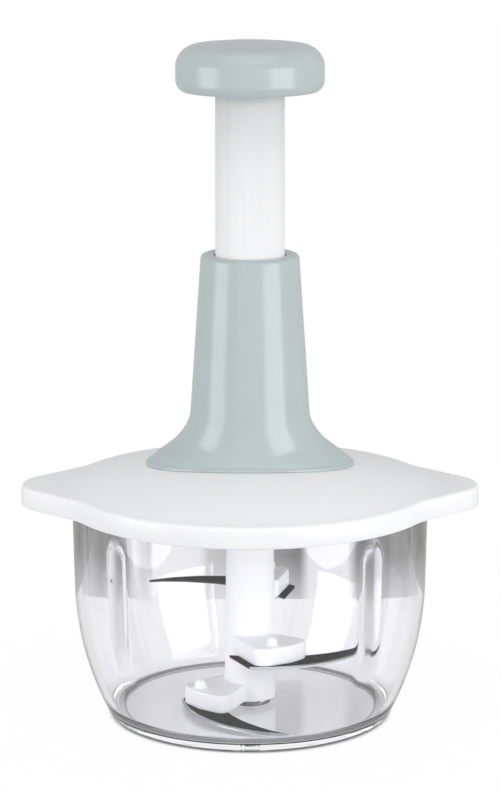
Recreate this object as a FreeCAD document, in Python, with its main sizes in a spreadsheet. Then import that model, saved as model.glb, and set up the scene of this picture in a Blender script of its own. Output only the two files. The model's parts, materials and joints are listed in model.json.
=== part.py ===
import FreeCAD, Part

import math
import os
import re

import Sketcher
from FreeCAD import Placement, Rotation, Vector

# Push-down food chopper: a clear bowl, a domed lid with two ears that carries a
# trumpet-shaped neck, and a plunger with a mushroom knob. A nut in the plunger
# runs down a twisted rod, the rod turns a ratchet coupling, and the coupling
# turns a blade carrier that stands on a pin in the bottom of the bowl.
# Millimetres, +Z up, origin at the centre of the bowl's foot. The lid's ears
# point along X.

os.makedirs("parts", exist_ok=True)
doc = FreeCAD.newDocument("food_chopper")

# Driving sizes

SIZES = {
    # bowl
    "bowl_rim_radius": 70.0,
    "bowl_height": 88.8,
    "bowl_wall": 2.4,
    "bowl_draft": 0.8,
    "bowl_shoulder_height": 52.0,
    "bowl_side_bend": 115.0,
    "bowl_heel_inset": 13.7,
    "bowl_heel_height": 2.0,
    "bowl_heel_bend": 3.0,
    "bowl_foot_inset": 16.5,
    "bowl_foot_width": 3.0,
    "bowl_foot_recess": 1.2,
    "bowl_corner_inset": 13.6,
    "bowl_corner_rise": 4.4,
    "bowl_corner_bend": 7.3,
    "bowl_floor_inset": 20.2,
    "bowl_boss_radius": 7.5,
    "bowl_boss_rise": 2.0,
    "bowl_rib_count": 4,
    "bowl_rib_angle": 8.7,
    "bowl_rib_turn": 42.4,
    "bowl_rib_depth": 2.2,
    "bowl_rib_start": 22.0,
    "bowl_rib_top_drop": 8.0,
    "bowl_rib_round": 3.6,
    # pin and bush the blade carrier turns on
    "pin_radius": 2.5,
    "pin_length": 24.0,
    "pin_grip": 3.4,
    "bush_wall": 2.0,
    "bush_length": 17.0,
    "running_gap": 0.06,
    "end_gap": 0.25,
    # blade carrier
    "carrier_foot_radius": 10.2,
    "carrier_top_radius": 9.3,
    "carrier_top_gap": 0.5,
    "socket_depth": 14.5,
    "arm_height": 7.0,
    "arm_nub_radius": 2.2,
    "arm_nub_rise": 3.4,
    "arm_nub_round": 1.8,
    "arm_corner": 4.0,
    "arm_margin": 1.6,
    "arm_flank_y": 11.0,
    "arm_elbow_x": 19.5,
    "arm_elbow_y": 19.0,
    "arm_end_x": 9.5,
    "arm_end_y": 26.0,
    "arm_nub_x": 19.6,
    "arm_nub_y": 12.0,
    "arm_rivet_near_x": 18.0,
    "arm_rivet_near_y": 4.5,
    "arm_rivet_far_x": 16.0,
    "arm_rivet_far_y": 16.0,
    # blades
    "blade_thickness": 1.0,
    "blade_tip_x": 16.0,
    "blade_tip_inset": 21.5,
    "blade_heel_x": 27.2,
    "blade_heel_y": 5.0,
    "blade_edge_bend": 48.0,
    "blade_back_bend": 54.0,
    "blade_back_x": 12.6,
    "blade_back_y": 6.0,
    "blade_tip_land": 1.1,
    "blade_bevel_width": 2.6,
    "blade_bevel_depth": 0.75,
    "blade_low_height": 4.7,
    "blade_mid_height": 24.6,
    "blade_high_height": 44.5,
    "blade_low_turn": 0.0,
    "blade_mid_turn": 80.0,
    "blade_high_turn": 218.0,
    "rivet_radius": 1.4,
    "rivet_head_radius": 2.5,
    "rivet_head_height": 0.6,
    "rivet_grip": 4.5,
    # lid
    "seal_thickness": 1.5,
    "seal_gap": 0.3,
    "seal_lip": 1.15,
    "lid_overhang": 2.8,
    "lid_wall": 2.2,
    "lid_skirt": 8.0,
    "lid_edge": 0.8,
    "ear_overhang": 1.1,
    "ear_share": 0.27,
    "ear_flank_angle": 46.0,
    "ear_blend": 25.0,
    "dome_overhang": 0.6,
    "dome_rise": 11.8,
    "dome_inner_inset": 6.6,
    "hub_radius": 12.0,
    "hub_rise": 0.3,
    "hub_thickness": 3.2,
    "cover_ring_width": 2.3,
    "cover_lip": 0.85,
    "cover_lip_height": 1.0,
    "cover_thickness": 2.0,
    "cover_hub_wall": 2.4,
    "cover_hub_drop": 3.0,
    "cover_hub_rise": 2.5,
    "cover_screw_circle": 48.0,
    "cover_screw_count": 4,
    "screw_boss_radius": 4.0,
    "screw_radius": 1.4,
    "screw_hole_radius": 1.7,
    "screw_pilot_radius": 1.4,
    "screw_head_radius": 2.9,
    "screw_head_crown": 2.0,
    "screw_head_height": 1.9,
    "screw_length": 8.0,
    "screw_room": 1.0,
    # neck
    "neck_top_height": 183.7,
    "neck_top_radius": 19.2,
    "neck_base_radius": 23.3,
    "neck_wall": 2.3,
    "neck_top_round": 1.6,
    "flare_height": 20.0,
    "flare_curve": 1.8,
    "flare_thickening": 0.5,
    "flange_half_length": 40.9,
    "flange_half_width": 26.6,
    "flange_ledge": 0.9,
    "flange_lip": 1.4,
    "neck_screw_x": 31.0,
    "neck_screw_y": 7.5,
    "neck_boss_radius": 3.4,
    "neck_boss_height": 6.5,
    "neck_pad_height": 3.7,
    "collar_length": 8.0,
    "neck_lip": 2.2,
    "neck_mouth_gap": 0.48,
    "rail_width": 2.0,
    "rail_reach": 15.9,
    # plunger
    "stroke": 60.0,
    "pressed_room": 3.3,
    "tube_radius": 13.4,
    "tube_wall": 3.5,
    "nut_seat_wall": 2.0,
    "tube_top_drop": 8.0,
    "tube_flange_radius": 15.6,
    "tube_flange_height": 5.6,
    "key_width": 4.0,
    "key_reach": 16.9,
    "key_gap": 0.2,
    "slide_gap": 0.08,
    "stop_gap": 0.2,
    "nut_recess": 15.4,
    "nut_height": 8.0,
    "nut_gap": 0.05,
    "nut_key_width": 3.0,
    "nut_key_reach": 0.9,
    "knob_radius": 28.6,
    "knob_height": 19.0,
    "knob_wall": 3.1,
    "knob_roof": 2.7,
    "knob_screw_rise": 7.0,
    "knob_crown": 1.3,
    "knob_crown_radius": 19.5,
    "knob_shoulder": 8.6,
    "knob_shoulder_bend": 9.0,
    "knob_heel": 4.6,
    "knob_heel_bend": 4.8,
    "knob_land": 1.0,
    "underplate_thickness": 2.0,
    "socket_wall": 3.0,
    "knob_screw_length": 5.2,
    # twisted rod and drive train
    "rod_side": 7.2,
    "rod_lead": 30.0,
    "rod_overlap": 6.0,
    "twist_gap": 0.15,
    "twist_steps": 24,
    "collar_radius": 5.5,
    "collar_height": 1.5,
    "journal_radius": 3.6,
    "square_side": 5.0,
    "square_gap": 0.04,
    "pilot_radius": 2.45,
    "pilot_length": 6.5,
    "washer_thickness": 0.8,
    "washer_radius": 7.0,
    "washer_gap": 0.3,
    "rod_bush_wall": 1.4,
    "rod_bush_flange": 7.0,
    "rod_bush_flange_height": 1.0,
    "clip_thickness": 0.8,
    "clip_width": 1.9,
    "clip_mouth": 80.0,
    "clip_groove": 0.7,
    "driver_radius": 10.0,
    "driver_height": 4.2,
    "teeth_count": 8,
    "teeth_width": 1.9,
    "teeth_height": 1.5,
    "teeth_inner_radius": 5.6,
    "teeth_length": 4.0,
    "teeth_land": 0.7,
    "teeth_gap": 0.05,
    "disc_spring_thickness": 0.5,
    "disc_spring_inner_radius": 4.2,
    "disc_spring_outer_radius": 8.6,
    "coupler_flange_height": 2.2,
    "coupler_bush_wall": 1.5,
    "coupler_bush_flange": 10.0,
    "coupler_bush_flange_height": 1.0,
    "coupler_journal_radius": 6.4,
    "hex_width": 9.0,
    "hex_gap": 0.1,
    "hex_length": 13.0,
    # return spring
    "spring_radius": 8.7,
    "wire_radius": 0.6,
    "spring_turns": 11,
    "spring_steps": 14,
    "wire_sides": 6,
    "seat_width": 3.9,
    "seat_height": 1.4,
    # how far cutting tools reach past what they cut
    "overcut": 1.0,
}

sheet = doc.addObject("Spreadsheet::Sheet", "Sizes")
for row, (alias, number) in enumerate(SIZES.items(), start=1):
    sheet.set(f"A{row}", alias.replace("_", " "))
    sheet.set(f"B{row}", str(number))
    sheet.setAlias(f"B{row}", alias)
doc.recompute()

# Heights and radii worked out from the driving sizes

shoulder_radius = "(bowl_rim_radius - bowl_draft)"
heel_radius = "(bowl_rim_radius - bowl_heel_inset)"
foot_radius = "(bowl_rim_radius - bowl_foot_inset)"
corner_radius = "(bowl_rim_radius - bowl_corner_inset)"
floor_radius = "(bowl_rim_radius - bowl_floor_inset)"
floor = "(bowl_foot_recess + bowl_wall)"
boss_top = f"({floor} + bowl_boss_rise)"
lid_under = "(bowl_height + seal_thickness)"
lid_plane = f"({lid_under} + lid_wall)"
skirt_bottom = f"({lid_plane} - lid_skirt)"
dome_top = f"({lid_plane} + dome_rise)"
lid_radius = "(bowl_rim_radius + lid_overhang)"
ear_centre = "(bowl_rim_radius + ear_overhang)"
ear_radius = "(bowl_rim_radius * ear_share)"
dome_radius = "(bowl_rim_radius + dome_overhang)"
dome_bend = f"(({dome_radius}^2 + dome_rise^2) / (2 * dome_rise))"
dome_inner_radius = "(bowl_rim_radius - dome_inner_inset)"
dome_inner_bend = f"(({dome_inner_radius}^2 + dome_rise^2) / (2 * dome_rise))"
hub_top = f"({dome_top} + hub_rise)"
hub_under = f"({hub_top} - hub_thickness)"
seal_bore = "(bowl_rim_radius - bowl_wall - seal_gap)"
cover_radius = f"({seal_bore} - seal_lip)"
cover_bottom = skirt_bottom
cover_top = f"({cover_bottom} + cover_thickness)"
cover_hub_bottom = f"({cover_bottom} - cover_hub_drop)"
cover_hub_top = f"({cover_top} + cover_hub_rise)"

coupler_bush_radius = "(coupler_journal_radius + running_gap + coupler_bush_wall)"
coupler_flange_bottom = f"({cover_hub_top} + coupler_bush_flange_height + running_gap)"
coupler_top = f"({coupler_flange_bottom} + coupler_flange_height)"
clip_room = "(clip_thickness + end_gap)"
coupler_shoulder = f"({cover_hub_bottom} - {clip_room} - clip_thickness)"
carrier_top = f"({coupler_shoulder} - carrier_top_gap)"
driver_bottom = f"({coupler_top} + teeth_height + end_gap / 2)"
driver_top = f"({driver_bottom} + driver_height)"

rod_bush_radius = "(journal_radius + running_gap + rod_bush_wall)"
washer_bottom = f"({hub_top} + rod_bush_flange_height)"
rod_collar_bottom = f"({washer_bottom} + washer_thickness + running_gap)"
twist_bottom = f"({rod_collar_bottom} + collar_height)"
rod_clip_top = f"({hub_under} - end_gap)"
rod_clip_bottom = f"({rod_clip_top} - clip_thickness)"
square_top = f"({driver_top} + end_gap)"
spring_bottom = f"({hub_top} + seat_height)"

collar_top = "(neck_top_height - neck_lip)"
collar_bottom = f"({collar_top} - collar_length)"
tube_flange_top = f"({collar_bottom} - stop_gap)"
tube_bottom = f"({tube_flange_top} - tube_flange_height)"
nut_bottom = f"({tube_bottom} + nut_recess)"
nut_top = f"({nut_bottom} + nut_height)"
rod_top = f"({nut_top} + rod_overlap)"
knob_bottom = "(neck_top_height + stroke + pressed_room)"
knob_top = f"({knob_bottom} + knob_height)"
tube_top = f"({knob_top} - tube_top_drop)"


def formula(text):
    """The text with every size's name pointing at its cell."""
    words = re.split(r"([a-z][a-z_]*[a-z])", text)
    return "".join("Sizes." + word if word in SIZES else word for word in words)


def value(text):
    """What a formula comes to now, as a number."""
    return float(sheet.evalExpression(formula(str(text))))


def bind(thing, property_name, text):
    thing.setExpression(property_name, formula(text))


def new_body(label):
    body = doc.addObject("PartDesign::Body", label)
    body.Label = label
    return body


def new_sketch(body, name, plane, height="0", turn="0"):
    """A sketch on one of the body's own origin planes, raised and turned about Z."""
    sketch = body.newObject("Sketcher::SketchObject", name)
    support = next(item for item in body.Origin.OriginFeatures if item.Role == plane)
    sketch.AttachmentSupport = [(support, "")]
    sketch.MapMode = "FlatFace"
    if height != "0":
        bind(sketch, "AttachmentOffset.Base.z", height)
    if turn != "0":
        bind(sketch, "AttachmentOffset.Rotation.Angle", turn)
    return sketch


def arc_between(start, end, radius, turn):
    """The arc from start to end that bends left (turn 1) or right (turn -1)."""
    middle = (start + end) * 0.5
    chord = end - start
    half = chord.Length / 2
    left = Vector(-chord.y, chord.x, 0).normalize()
    centre = middle + left * (turn * math.sqrt(max(radius**2 - half**2, 0)))
    start_angle = math.atan2(start.y - centre.y, start.x - centre.x)
    end_angle = math.atan2(end.y - centre.y, end.x - centre.x)
    circle = Part.Circle(centre, Vector(0, 0, 1), radius)
    if turn > 0:
        return Part.ArcOfCircle(circle, start_angle, end_angle)
    return Part.ArcOfCircle(circle, end_angle, start_angle)


def stepped(corners):
    """The corners, with each (x, y, radius, turn, steps) made a run of straight steps on its arc."""
    run = []
    for index, corner in enumerate(corners):
        if len(corner) < 5:
            run.append(corner)
            continue
        x, y, radius, turn, steps = corner
        across = f"({corners[(index + 1) % len(corners)][0]} - ({x}))"
        along = f"({corners[(index + 1) % len(corners)][1]} - ({y}))"
        chord = f"sqrt({across}^2 + {along}^2)"
        middle = f"sqrt(({radius})^2 - ({chord} / 2)^2)"
        run.append((x, y))
        for step in range(1, steps):
            share = step / steps
            bulge = f"(sqrt(({radius})^2 - ({share - 0.5} * {chord})^2) - {middle}) / {chord}"
            run.append((f"{x} + {share} * {across} + {turn} * {along} * {bulge}",
                        f"{y} + {share} * {along} - {turn} * {across} * {bulge}"))
    return run


def outline(sketch, corners):
    """Close a profile through corners given as formulas: (x, y) leaves its corner
    on a line, and (x, y, radius, turn) leaves it on an arc that bends left or right."""
    corners = stepped(corners)
    points = [Vector(value(corner[0]), value(corner[1]), 0) for corner in corners]
    ends = []
    for index, corner in enumerate(corners):
        start = points[index]
        end = points[(index + 1) % len(points)]
        if len(corner) == 2:
            edge = sketch.addGeometry(Part.LineSegment(start, end))
            ends.append((edge, 1, 2))
        else:
            radius = value(corner[2])
            edge = sketch.addGeometry(arc_between(start, end, radius, corner[3]))
            ends.append((edge, 1, 2) if corner[3] > 0 else (edge, 2, 1))
            tie(sketch, Sketcher.Constraint("Radius", edge, radius), corner[2])
    for index, corner in enumerate(corners):
        edge, first, last = ends[index]
        previous, _, finish = ends[index - 1]
        sketch.addConstraint(Sketcher.Constraint("Coincident", previous, finish, edge, first))
        for axis, word, text in ((-2, "DistanceX", corner[0]), (-1, "DistanceY", corner[1])):
            if text == "0":
                sketch.addConstraint(Sketcher.Constraint("PointOnObject", edge, first, axis))
            else:
                tie(sketch, Sketcher.Constraint(word, -1, 1, edge, first, value(text)), text)


def round_hole(sketch, x, y, radius):
    """A circle in a sketch, placed and sized by formulas."""
    centre = Vector(value(x), value(y), 0)
    circle = sketch.addGeometry(Part.Circle(centre, Vector(0, 0, 1), value(radius)))
    tie(sketch, Sketcher.Constraint("Radius", circle, value(radius)), radius)
    for axis, word, text in ((-2, "DistanceX", x), (-1, "DistanceY", y)):
        if text == "0":
            sketch.addConstraint(Sketcher.Constraint("PointOnObject", circle, 3, axis))
        else:
            tie(sketch, Sketcher.Constraint(word, -1, 1, circle, 3, value(text)), text)


def tie(sketch, constraint, text):
    index = sketch.addConstraint(constraint)
    name = f"size{index}"
    sketch.renameConstraint(index, name)
    bind(sketch, f"Constraints.{name}", text)


def turned(body, name, kind, corners, sweep=None, turn="0"):
    """A Revolution or Groove about Z of a profile drawn in the XZ plane. A sweep
    under a full turn lies evenly on both sides of the plane, turned about Z."""
    sketch = new_sketch(body, name + "_profile", "XZ_Plane")
    outline(sketch, corners)
    if turn != "0":
        sketch.AttachmentOffset = Placement(Vector(0, 0, 0), Rotation(Vector(0, 1, 0), value(turn)))
        bind(sketch, "AttachmentOffset.Rotation.Angle", turn)
    feature = body.newObject("PartDesign::" + kind, name)
    feature.Profile = sketch
    feature.ReferenceAxis = (sketch, ["V_Axis"])
    feature.Angle = 360
    if sweep:
        feature.Midplane = True
        bind(feature, "Angle", sweep)
    return feature


def raised(body, name, sketch, length, kind="Pad", reverse=False, both=False):
    """A Pad or Pocket of a sketch by a formula's length, to one side or to both."""
    feature = body.newObject("PartDesign::" + kind, name)
    feature.Profile = sketch
    bind(feature, "Length", length)
    feature.Reversed = reverse
    if both:
        feature.SideType = "Symmetric"
    return feature


def around(body, feature, count):
    """Repeat the feature evenly about Z."""
    pattern = body.newObject("PartDesign::PolarPattern", feature.Name + "_pattern")
    z_axis = next(item for item in body.Origin.OriginFeatures if item.Role == "Z_Axis")
    pattern.Originals = [feature]
    pattern.Axis = (z_axis, [""])
    pattern.Angle = 360
    bind(pattern, "Occurrences", count)
    body.Tip = pattern
    return pattern


def rounded(body, name, radius, wanted, kind="Fillet"):
    """A Fillet or Chamfer on the edges of the body so far that the test picks."""
    doc.recompute()
    base = body.Tip
    edges = [f"Edge{index}" for index, edge in enumerate(base.Shape.Edges, start=1) if wanted(edge)]
    if not edges:
        raise RuntimeError(f"{body.Label}: no edge for {name}")
    feature = body.newObject("PartDesign::" + kind, name)
    feature.Base = (base, edges)
    bind(feature, "Radius" if kind == "Fillet" else "Size", radius)
    return feature


def at_height(edge, height):
    """Whether the whole edge lies at a height."""
    box = edge.BoundBox
    return abs(box.ZMin - height) < 1e-4 and abs(box.ZMax - height) < 1e-4


def upright(edge, low, high):
    """Whether the edge runs straight up from one height to another."""
    box = edge.BoundBox
    flat = box.XLength < 1e-4 and box.YLength < 1e-4
    return flat and abs(box.ZMin - low) < 1e-3 and abs(box.ZMax - high) < 1e-3


def reach(edge):
    """How far the middle of the edge's box stands from the Z axis."""
    centre = edge.BoundBox.Center
    return math.hypot(centre.x, centre.y)


def shaped(label, shape):
    """A sub-part made by Part's own functions."""
    feature = doc.addObject("Part::Feature", label)
    feature.Label = label
    feature.Shape = shape
    return feature


def part(kind, name, at=("0", "0", "0"), **properties):
    """A Part primitive or boolean: formulas bind its sizes and place, the rest is set."""
    item = doc.addObject("Part::" + kind, name)
    for axis, text in zip("xyz", at):
        if text != "0":
            bind(item, "Placement.Base." + axis, text)
    for key, setting in properties.items():
        if isinstance(setting, str):
            bind(item, key, setting)
        else:
            setattr(item, key, setting)
    return item


# Bowl

pin_bottom = f"({boss_top} - pin_grip)"

bowl = new_body("bowl")
turned(bowl, "bowl_shell", "Revolution", [
    ("0", "bowl_foot_recess"),
    (f"{foot_radius} - bowl_foot_width", "bowl_foot_recess"),
    (f"{foot_radius} - bowl_foot_width", "0"),
    (foot_radius, "0", "bowl_heel_bend", 1, 2),
    (heel_radius, "bowl_heel_height", "bowl_side_bend", 1, 5),
    (shoulder_radius, "bowl_shoulder_height"),
    ("bowl_rim_radius", "bowl_height"),
    ("bowl_rim_radius - bowl_wall", "bowl_height"),
    (f"{shoulder_radius} - bowl_wall", "bowl_shoulder_height", "bowl_side_bend - bowl_wall", -1, 5),
    (corner_radius, f"{floor} + bowl_corner_rise", "bowl_corner_bend", -1, 3),
    (floor_radius, floor),
    ("bowl_boss_radius", floor),
    ("bowl_boss_radius", boss_top),
    ("pin_radius", boss_top),
    ("pin_radius", pin_bottom),
    ("0", pin_bottom),
])
side_centre = f"({shoulder_radius} - bowl_side_bend)"
side_drop = "(bowl_shoulder_height - bowl_rib_start)"


def side_at_rib(inset):
    """The radius of the bowl's side where the ribs start, drawn in by an inset."""
    return f"({side_centre} + sqrt((bowl_side_bend - {inset})^2 - {side_drop}^2))"


rib_face = f"({shoulder_radius} - bowl_wall - bowl_rib_depth)"
rib_back = f"({shoulder_radius} - bowl_wall / 2)"
rib_top = "(bowl_height - bowl_rib_top_drop)"
rib = turned(bowl, "bowl_rib", "Revolution", [
    (rib_face, rib_top),
    (rib_face, "bowl_shoulder_height", "bowl_side_bend - bowl_wall - bowl_rib_depth", -1, 2),
    (side_at_rib("bowl_wall"), "bowl_rib_start"),
    (side_at_rib("(bowl_wall / 2)"), "bowl_rib_start", "bowl_side_bend - bowl_wall / 2", 1, 2),
    (rib_back, "bowl_shoulder_height"),
    (rib_back, rib_top),
], sweep="bowl_rib_angle", turn="bowl_rib_turn")
around(bowl, rib, "bowl_rib_count")
rib_head = value(rib_top)
rib_width = math.radians(value("bowl_rib_angle")) * value(rib_face)
rounded(bowl, "bowl_rib_heads", "bowl_rib_round",
        lambda edge: at_height(edge, rib_head) and edge.Length < rib_width / 2)

pin = new_body("bowl_pivot_pin")
pin_top = f"({pin_bottom} + pin_length)"
turned(pin, "pin", "Revolution", [
    ("0", pin_bottom),
    ("pin_radius", pin_bottom),
    ("pin_radius", f"{pin_top} - pin_radius / 3"),
    ("pin_radius * 2 / 3", pin_top),
    ("0", pin_top),
])

# Blade unit: bush, carrier with three arms, three blades and their rivets

foot = f"({boss_top} + end_gap)"
bush_bore = "(pin_radius + running_gap)"
bush_outer = f"({bush_bore} + bush_wall)"
bush_top = f"({foot} + bush_length)"

bush = new_body("carrier_foot_bush")
turned(bush, "bush", "Revolution", [
    (bush_bore, foot),
    (bush_outer, foot),
    (bush_outer, bush_top),
    (bush_bore, bush_top),
])

carrier = new_body("blade_carrier")
bore_top = f"({pin_top} + 2 * end_gap)"
bore_radius = f"({bush_bore} + end_gap)"
turned(carrier, "carrier_stem", "Revolution", [
    ("0", foot),
    ("carrier_foot_radius", foot),
    ("carrier_top_radius", carrier_top),
    ("0", carrier_top),
])


def hexagon(sketch, flats):
    """A hexagon of a width across its flats."""
    corners = []
    for turn in range(0, 360, 60):
        x = f"{flats} / sqrt(3) * {math.cos(math.radians(turn)):.6f}"
        y = f"{flats} / sqrt(3) * {math.sin(math.radians(turn)):.6f}"
        corners.append((x, y))
    corners[0] = (corners[0][0], "0")
    corners[3] = (corners[3][0], "0")
    outline(sketch, corners)


hex_socket = new_sketch(carrier, "carrier_socket_profile", "XY_Plane", carrier_top)
hexagon(hex_socket, "(hex_width + 2 * hex_gap)")
raised(carrier, "carrier_socket", hex_socket, "socket_depth", "Pocket")

BLADES = {
    "blade_low": ("blade_low_height", "blade_low_turn"),
    "blade_mid": ("blade_mid_height", "blade_mid_turn"),
    "blade_high": ("blade_high_height", "blade_high_turn"),
}
RIVETS = (("arm_rivet_near_x", "arm_rivet_near_y"), ("arm_rivet_far_x", "arm_rivet_far_y"))

for name, (height, turn) in BLADES.items():
    arm_bottom = f"({height} + blade_thickness)"
    plan = new_sketch(carrier, name + "_arm_profile", "XY_Plane", arm_bottom, turn)
    outline(plan, [
        ("-(blade_heel_x - arm_margin)", "-(blade_heel_y + arm_margin)"),
        ("-(blade_heel_x - arm_margin)", "-arm_flank_y"),
        ("-arm_elbow_x", "-arm_elbow_y"),
        ("-arm_end_x", "-arm_end_y"),
        ("0", "-carrier_top_radius / 2"),
        ("0", "carrier_top_radius / 2"),
        ("-(blade_back_x - arm_margin)", "blade_back_y - arm_margin"),
    ])
    raised(carrier, name + "_arm", plan, "arm_height")
    bottom = value(arm_bottom)
    top = bottom + value("arm_height")
    rounded(carrier, name + "_arm_corners", "arm_corner",
            lambda edge: upright(edge, bottom, top) and reach(edge) > value("arm_flank_y + arm_end_x"))
    nub = new_sketch(carrier, name + "_nub_profile", "XY_Plane", f"({arm_bottom} + arm_height)", turn)
    round_hole(nub, "-arm_nub_x", "-arm_nub_y", "arm_nub_radius")
    raised(carrier, name + "_nub", nub, "arm_nub_rise")
    nub_top = top + value("arm_nub_rise")
    rounded(carrier, name + "_nub_round", "arm_nub_round", lambda edge: at_height(edge, nub_top))
    for index, (across, along) in enumerate(RIVETS):
        hole = new_sketch(carrier, f"{name}_rivet_hole_{index}_profile", "XY_Plane", arm_bottom, turn)
        round_hole(hole, f"-{across}", f"-{along}", "rivet_radius")
        raised(carrier, f"{name}_rivet_hole_{index}", hole, "rivet_grip", "Pocket", reverse=True)

turned(carrier, "carrier_bore", "Groove", [
    ("0", bore_top),
    ("0", "0"),
    (bush_outer, "0"),
    (bush_outer, bush_top),
    (bore_radius, bush_top),
    (bore_radius, bore_top),
])

tip_reach = "(bowl_rim_radius - blade_tip_inset)"
edge_bend = value("blade_edge_bend")
for name, (height, turn) in BLADES.items():
    blade = new_body(name)
    plan = new_sketch(blade, name + "_profile", "XY_Plane", height, turn)
    outline(plan, [
        ("-blade_heel_x", "-blade_heel_y", "blade_edge_bend", 1),
        ("blade_tip_x", f"-{tip_reach}"),
        ("blade_tip_x + blade_tip_land", f"-({tip_reach} - blade_tip_land)", "blade_back_bend", -1),
        ("-blade_back_x", "blade_back_y"),
    ])
    raised(blade, name + "_plate", plan, "blade_thickness")
    blade_top = value(height) + value("blade_thickness")
    bevel = rounded(blade, name + "_bevel", "blade_bevel_depth", lambda edge: at_height(edge, blade_top)
                    and edge.Length > edge_bend and abs(edge.Curve.Radius - edge_bend) < 1e-3, "Chamfer")
    bevel.ChamferType = "Two distances"
    bind(bevel, "Size2", "blade_bevel_width")
    for index, (across, along) in enumerate(RIVETS):
        hole = new_sketch(blade, f"{name}_hole_{index}_profile", "XY_Plane", height, turn)
        round_hole(hole, f"-{across}", f"-{along}", "rivet_radius")
        raised(blade, f"{name}_hole_{index}", hole, "blade_thickness", "Pocket", reverse=True)

rivets = []
for height, turn in BLADES.values():
    for across, along in RIVETS:
        low = value(height)
        grip = value("blade_thickness") + value("rivet_grip")
        shank = Part.makeCylinder(value("rivet_radius"), grip, Vector(0, 0, low))
        head = Part.makeCylinder(value("rivet_head_radius"), value("rivet_head_height"),
                                 Vector(0, 0, low - value("rivet_head_height")))
        rivet = shank.fuse(head).removeSplitter()
        rivet.translate(Vector(-value(across), -value(along), 0))
        rivet.rotate(Vector(0, 0, 0), Vector(0, 0, 1), value(turn))
        rivets.append(rivet)
shaped("blade_rivets", Part.makeCompound(rivets))

# Lid shell


def lid_outline(sketch, inset):
    """The lid's circle with an ear on each side, drawn in by an inset: the ear's tip is
    round, its flanks are straight, and a hollow blend leads them into the circle."""
    across = "cos(ear_flank_angle)"
    along = "sin(ear_flank_angle)"
    circle = f"({lid_radius} - {inset})"
    ear = f"({ear_radius} - {inset})"
    blend = f"(ear_blend + {inset})"
    flank = f"({ear_centre} * {across} + {ear_radius})"
    run = f"sqrt(({lid_radius} + ear_blend)^2 - ({flank} + ear_blend)^2)"
    share = f"({circle} / ({lid_radius} + ear_blend))"
    ear_x = f"({ear_centre} + {ear} * {across})"
    ear_y = f"({ear} * {along})"
    flank_x = f"(({flank} - {inset}) * {across} + {run} * {along})"
    flank_y = f"(({flank} - {inset}) * {along} - {run} * {across})"
    circle_x = f"((({flank} + ear_blend) * {across} + {run} * {along}) * {share})"
    circle_y = f"((({flank} + ear_blend) * {along} - {run} * {across}) * {share})"
    outline(sketch, [
        (circle_x, circle_y, circle, 1),
        ("-" + circle_x, circle_y, blend, -1),
        ("-" + flank_x, flank_y),
        ("-" + ear_x, ear_y, ear, 1),
        ("-" + ear_x, "-" + ear_y),
        ("-" + flank_x, "-" + flank_y, blend, -1),
        ("-" + circle_x, "-" + circle_y, circle, 1),
        (circle_x, "-" + circle_y, blend, -1),
        (flank_x, "-" + flank_y),
        (ear_x, "-" + ear_y, ear, 1),
        (ear_x, ear_y),
        (flank_x, flank_y, blend, -1),
    ])


lid = new_body("lid_shell")
rim = new_sketch(lid, "lid_rim_profile", "XY_Plane", skirt_bottom)
lid_outline(rim, "0")
raised(lid, "lid_rim", rim, "lid_skirt")
turned(lid, "lid_dome", "Revolution", [
    ("0", f"{lid_plane} - lid_wall / 2"),
    (dome_radius, f"{lid_plane} - lid_wall / 2"),
    (dome_radius, lid_plane, dome_bend, 1),
    ("0", dome_top),
])
rim_height = value(lid_plane)
rounded(lid, "lid_top_edge", "lid_edge",
        lambda edge: at_height(edge, rim_height) and not edge.Closed, "Chamfer")
hollow = new_sketch(lid, "lid_hollow_profile", "XY_Plane", skirt_bottom)
lid_outline(hollow, "lid_wall")
raised(lid, "lid_hollow", hollow, "lid_skirt - lid_wall", "Pocket", reverse=True)
turned(lid, "lid_dome_hollow", "Groove", [
    ("0", f"{lid_under} - lid_wall / 2"),
    (dome_inner_radius, f"{lid_under} - lid_wall / 2"),
    (dome_inner_radius, lid_under, dome_inner_bend, 1, 3),
    ("0", f"{lid_under} + dome_rise"),
])
hub = new_sketch(lid, "lid_hub_profile", "XY_Plane", hub_under)
round_hole(hub, "0", "0", "hub_radius")
raised(lid, "lid_hub", hub, "hub_thickness")
hub_bore = new_sketch(lid, "lid_hub_bore_profile", "XY_Plane", hub_under)
round_hole(hub_bore, "0", "0", rod_bush_radius)
raised(lid, "lid_hub_bore", hub_bore, "hub_thickness", "Pocket", reverse=True)


def inside_dome(circle):
    """The height where a screw boss on a circle is wholly inside the dome's wall."""
    near = f"({circle} - screw_boss_radius)"
    drop = f"({dome_inner_bend} - sqrt({dome_inner_bend}^2 - {near}^2))"
    return f"({lid_under} + dome_rise - {drop} + lid_wall / 4)"


cover_boss_at = "cover_screw_circle / sqrt(2)"
cover_boss = new_sketch(lid, "lid_cover_boss_profile", "XY_Plane", cover_top)
round_hole(cover_boss, cover_boss_at, cover_boss_at, "screw_boss_radius")
around(lid, raised(lid, "lid_cover_boss", cover_boss, f"{inside_dome('cover_screw_circle')} - {cover_top}"),
       "cover_screw_count")
cover_pilot = new_sketch(lid, "lid_cover_pilot_profile", "XY_Plane", cover_top)
round_hole(cover_pilot, cover_boss_at, cover_boss_at, "screw_pilot_radius")
pilot_depth = "screw_length - cover_thickness + screw_room"
around(lid, raised(lid, "lid_cover_pilot", cover_pilot, pilot_depth, "Pocket", reverse=True),
       "cover_screw_count")

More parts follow.
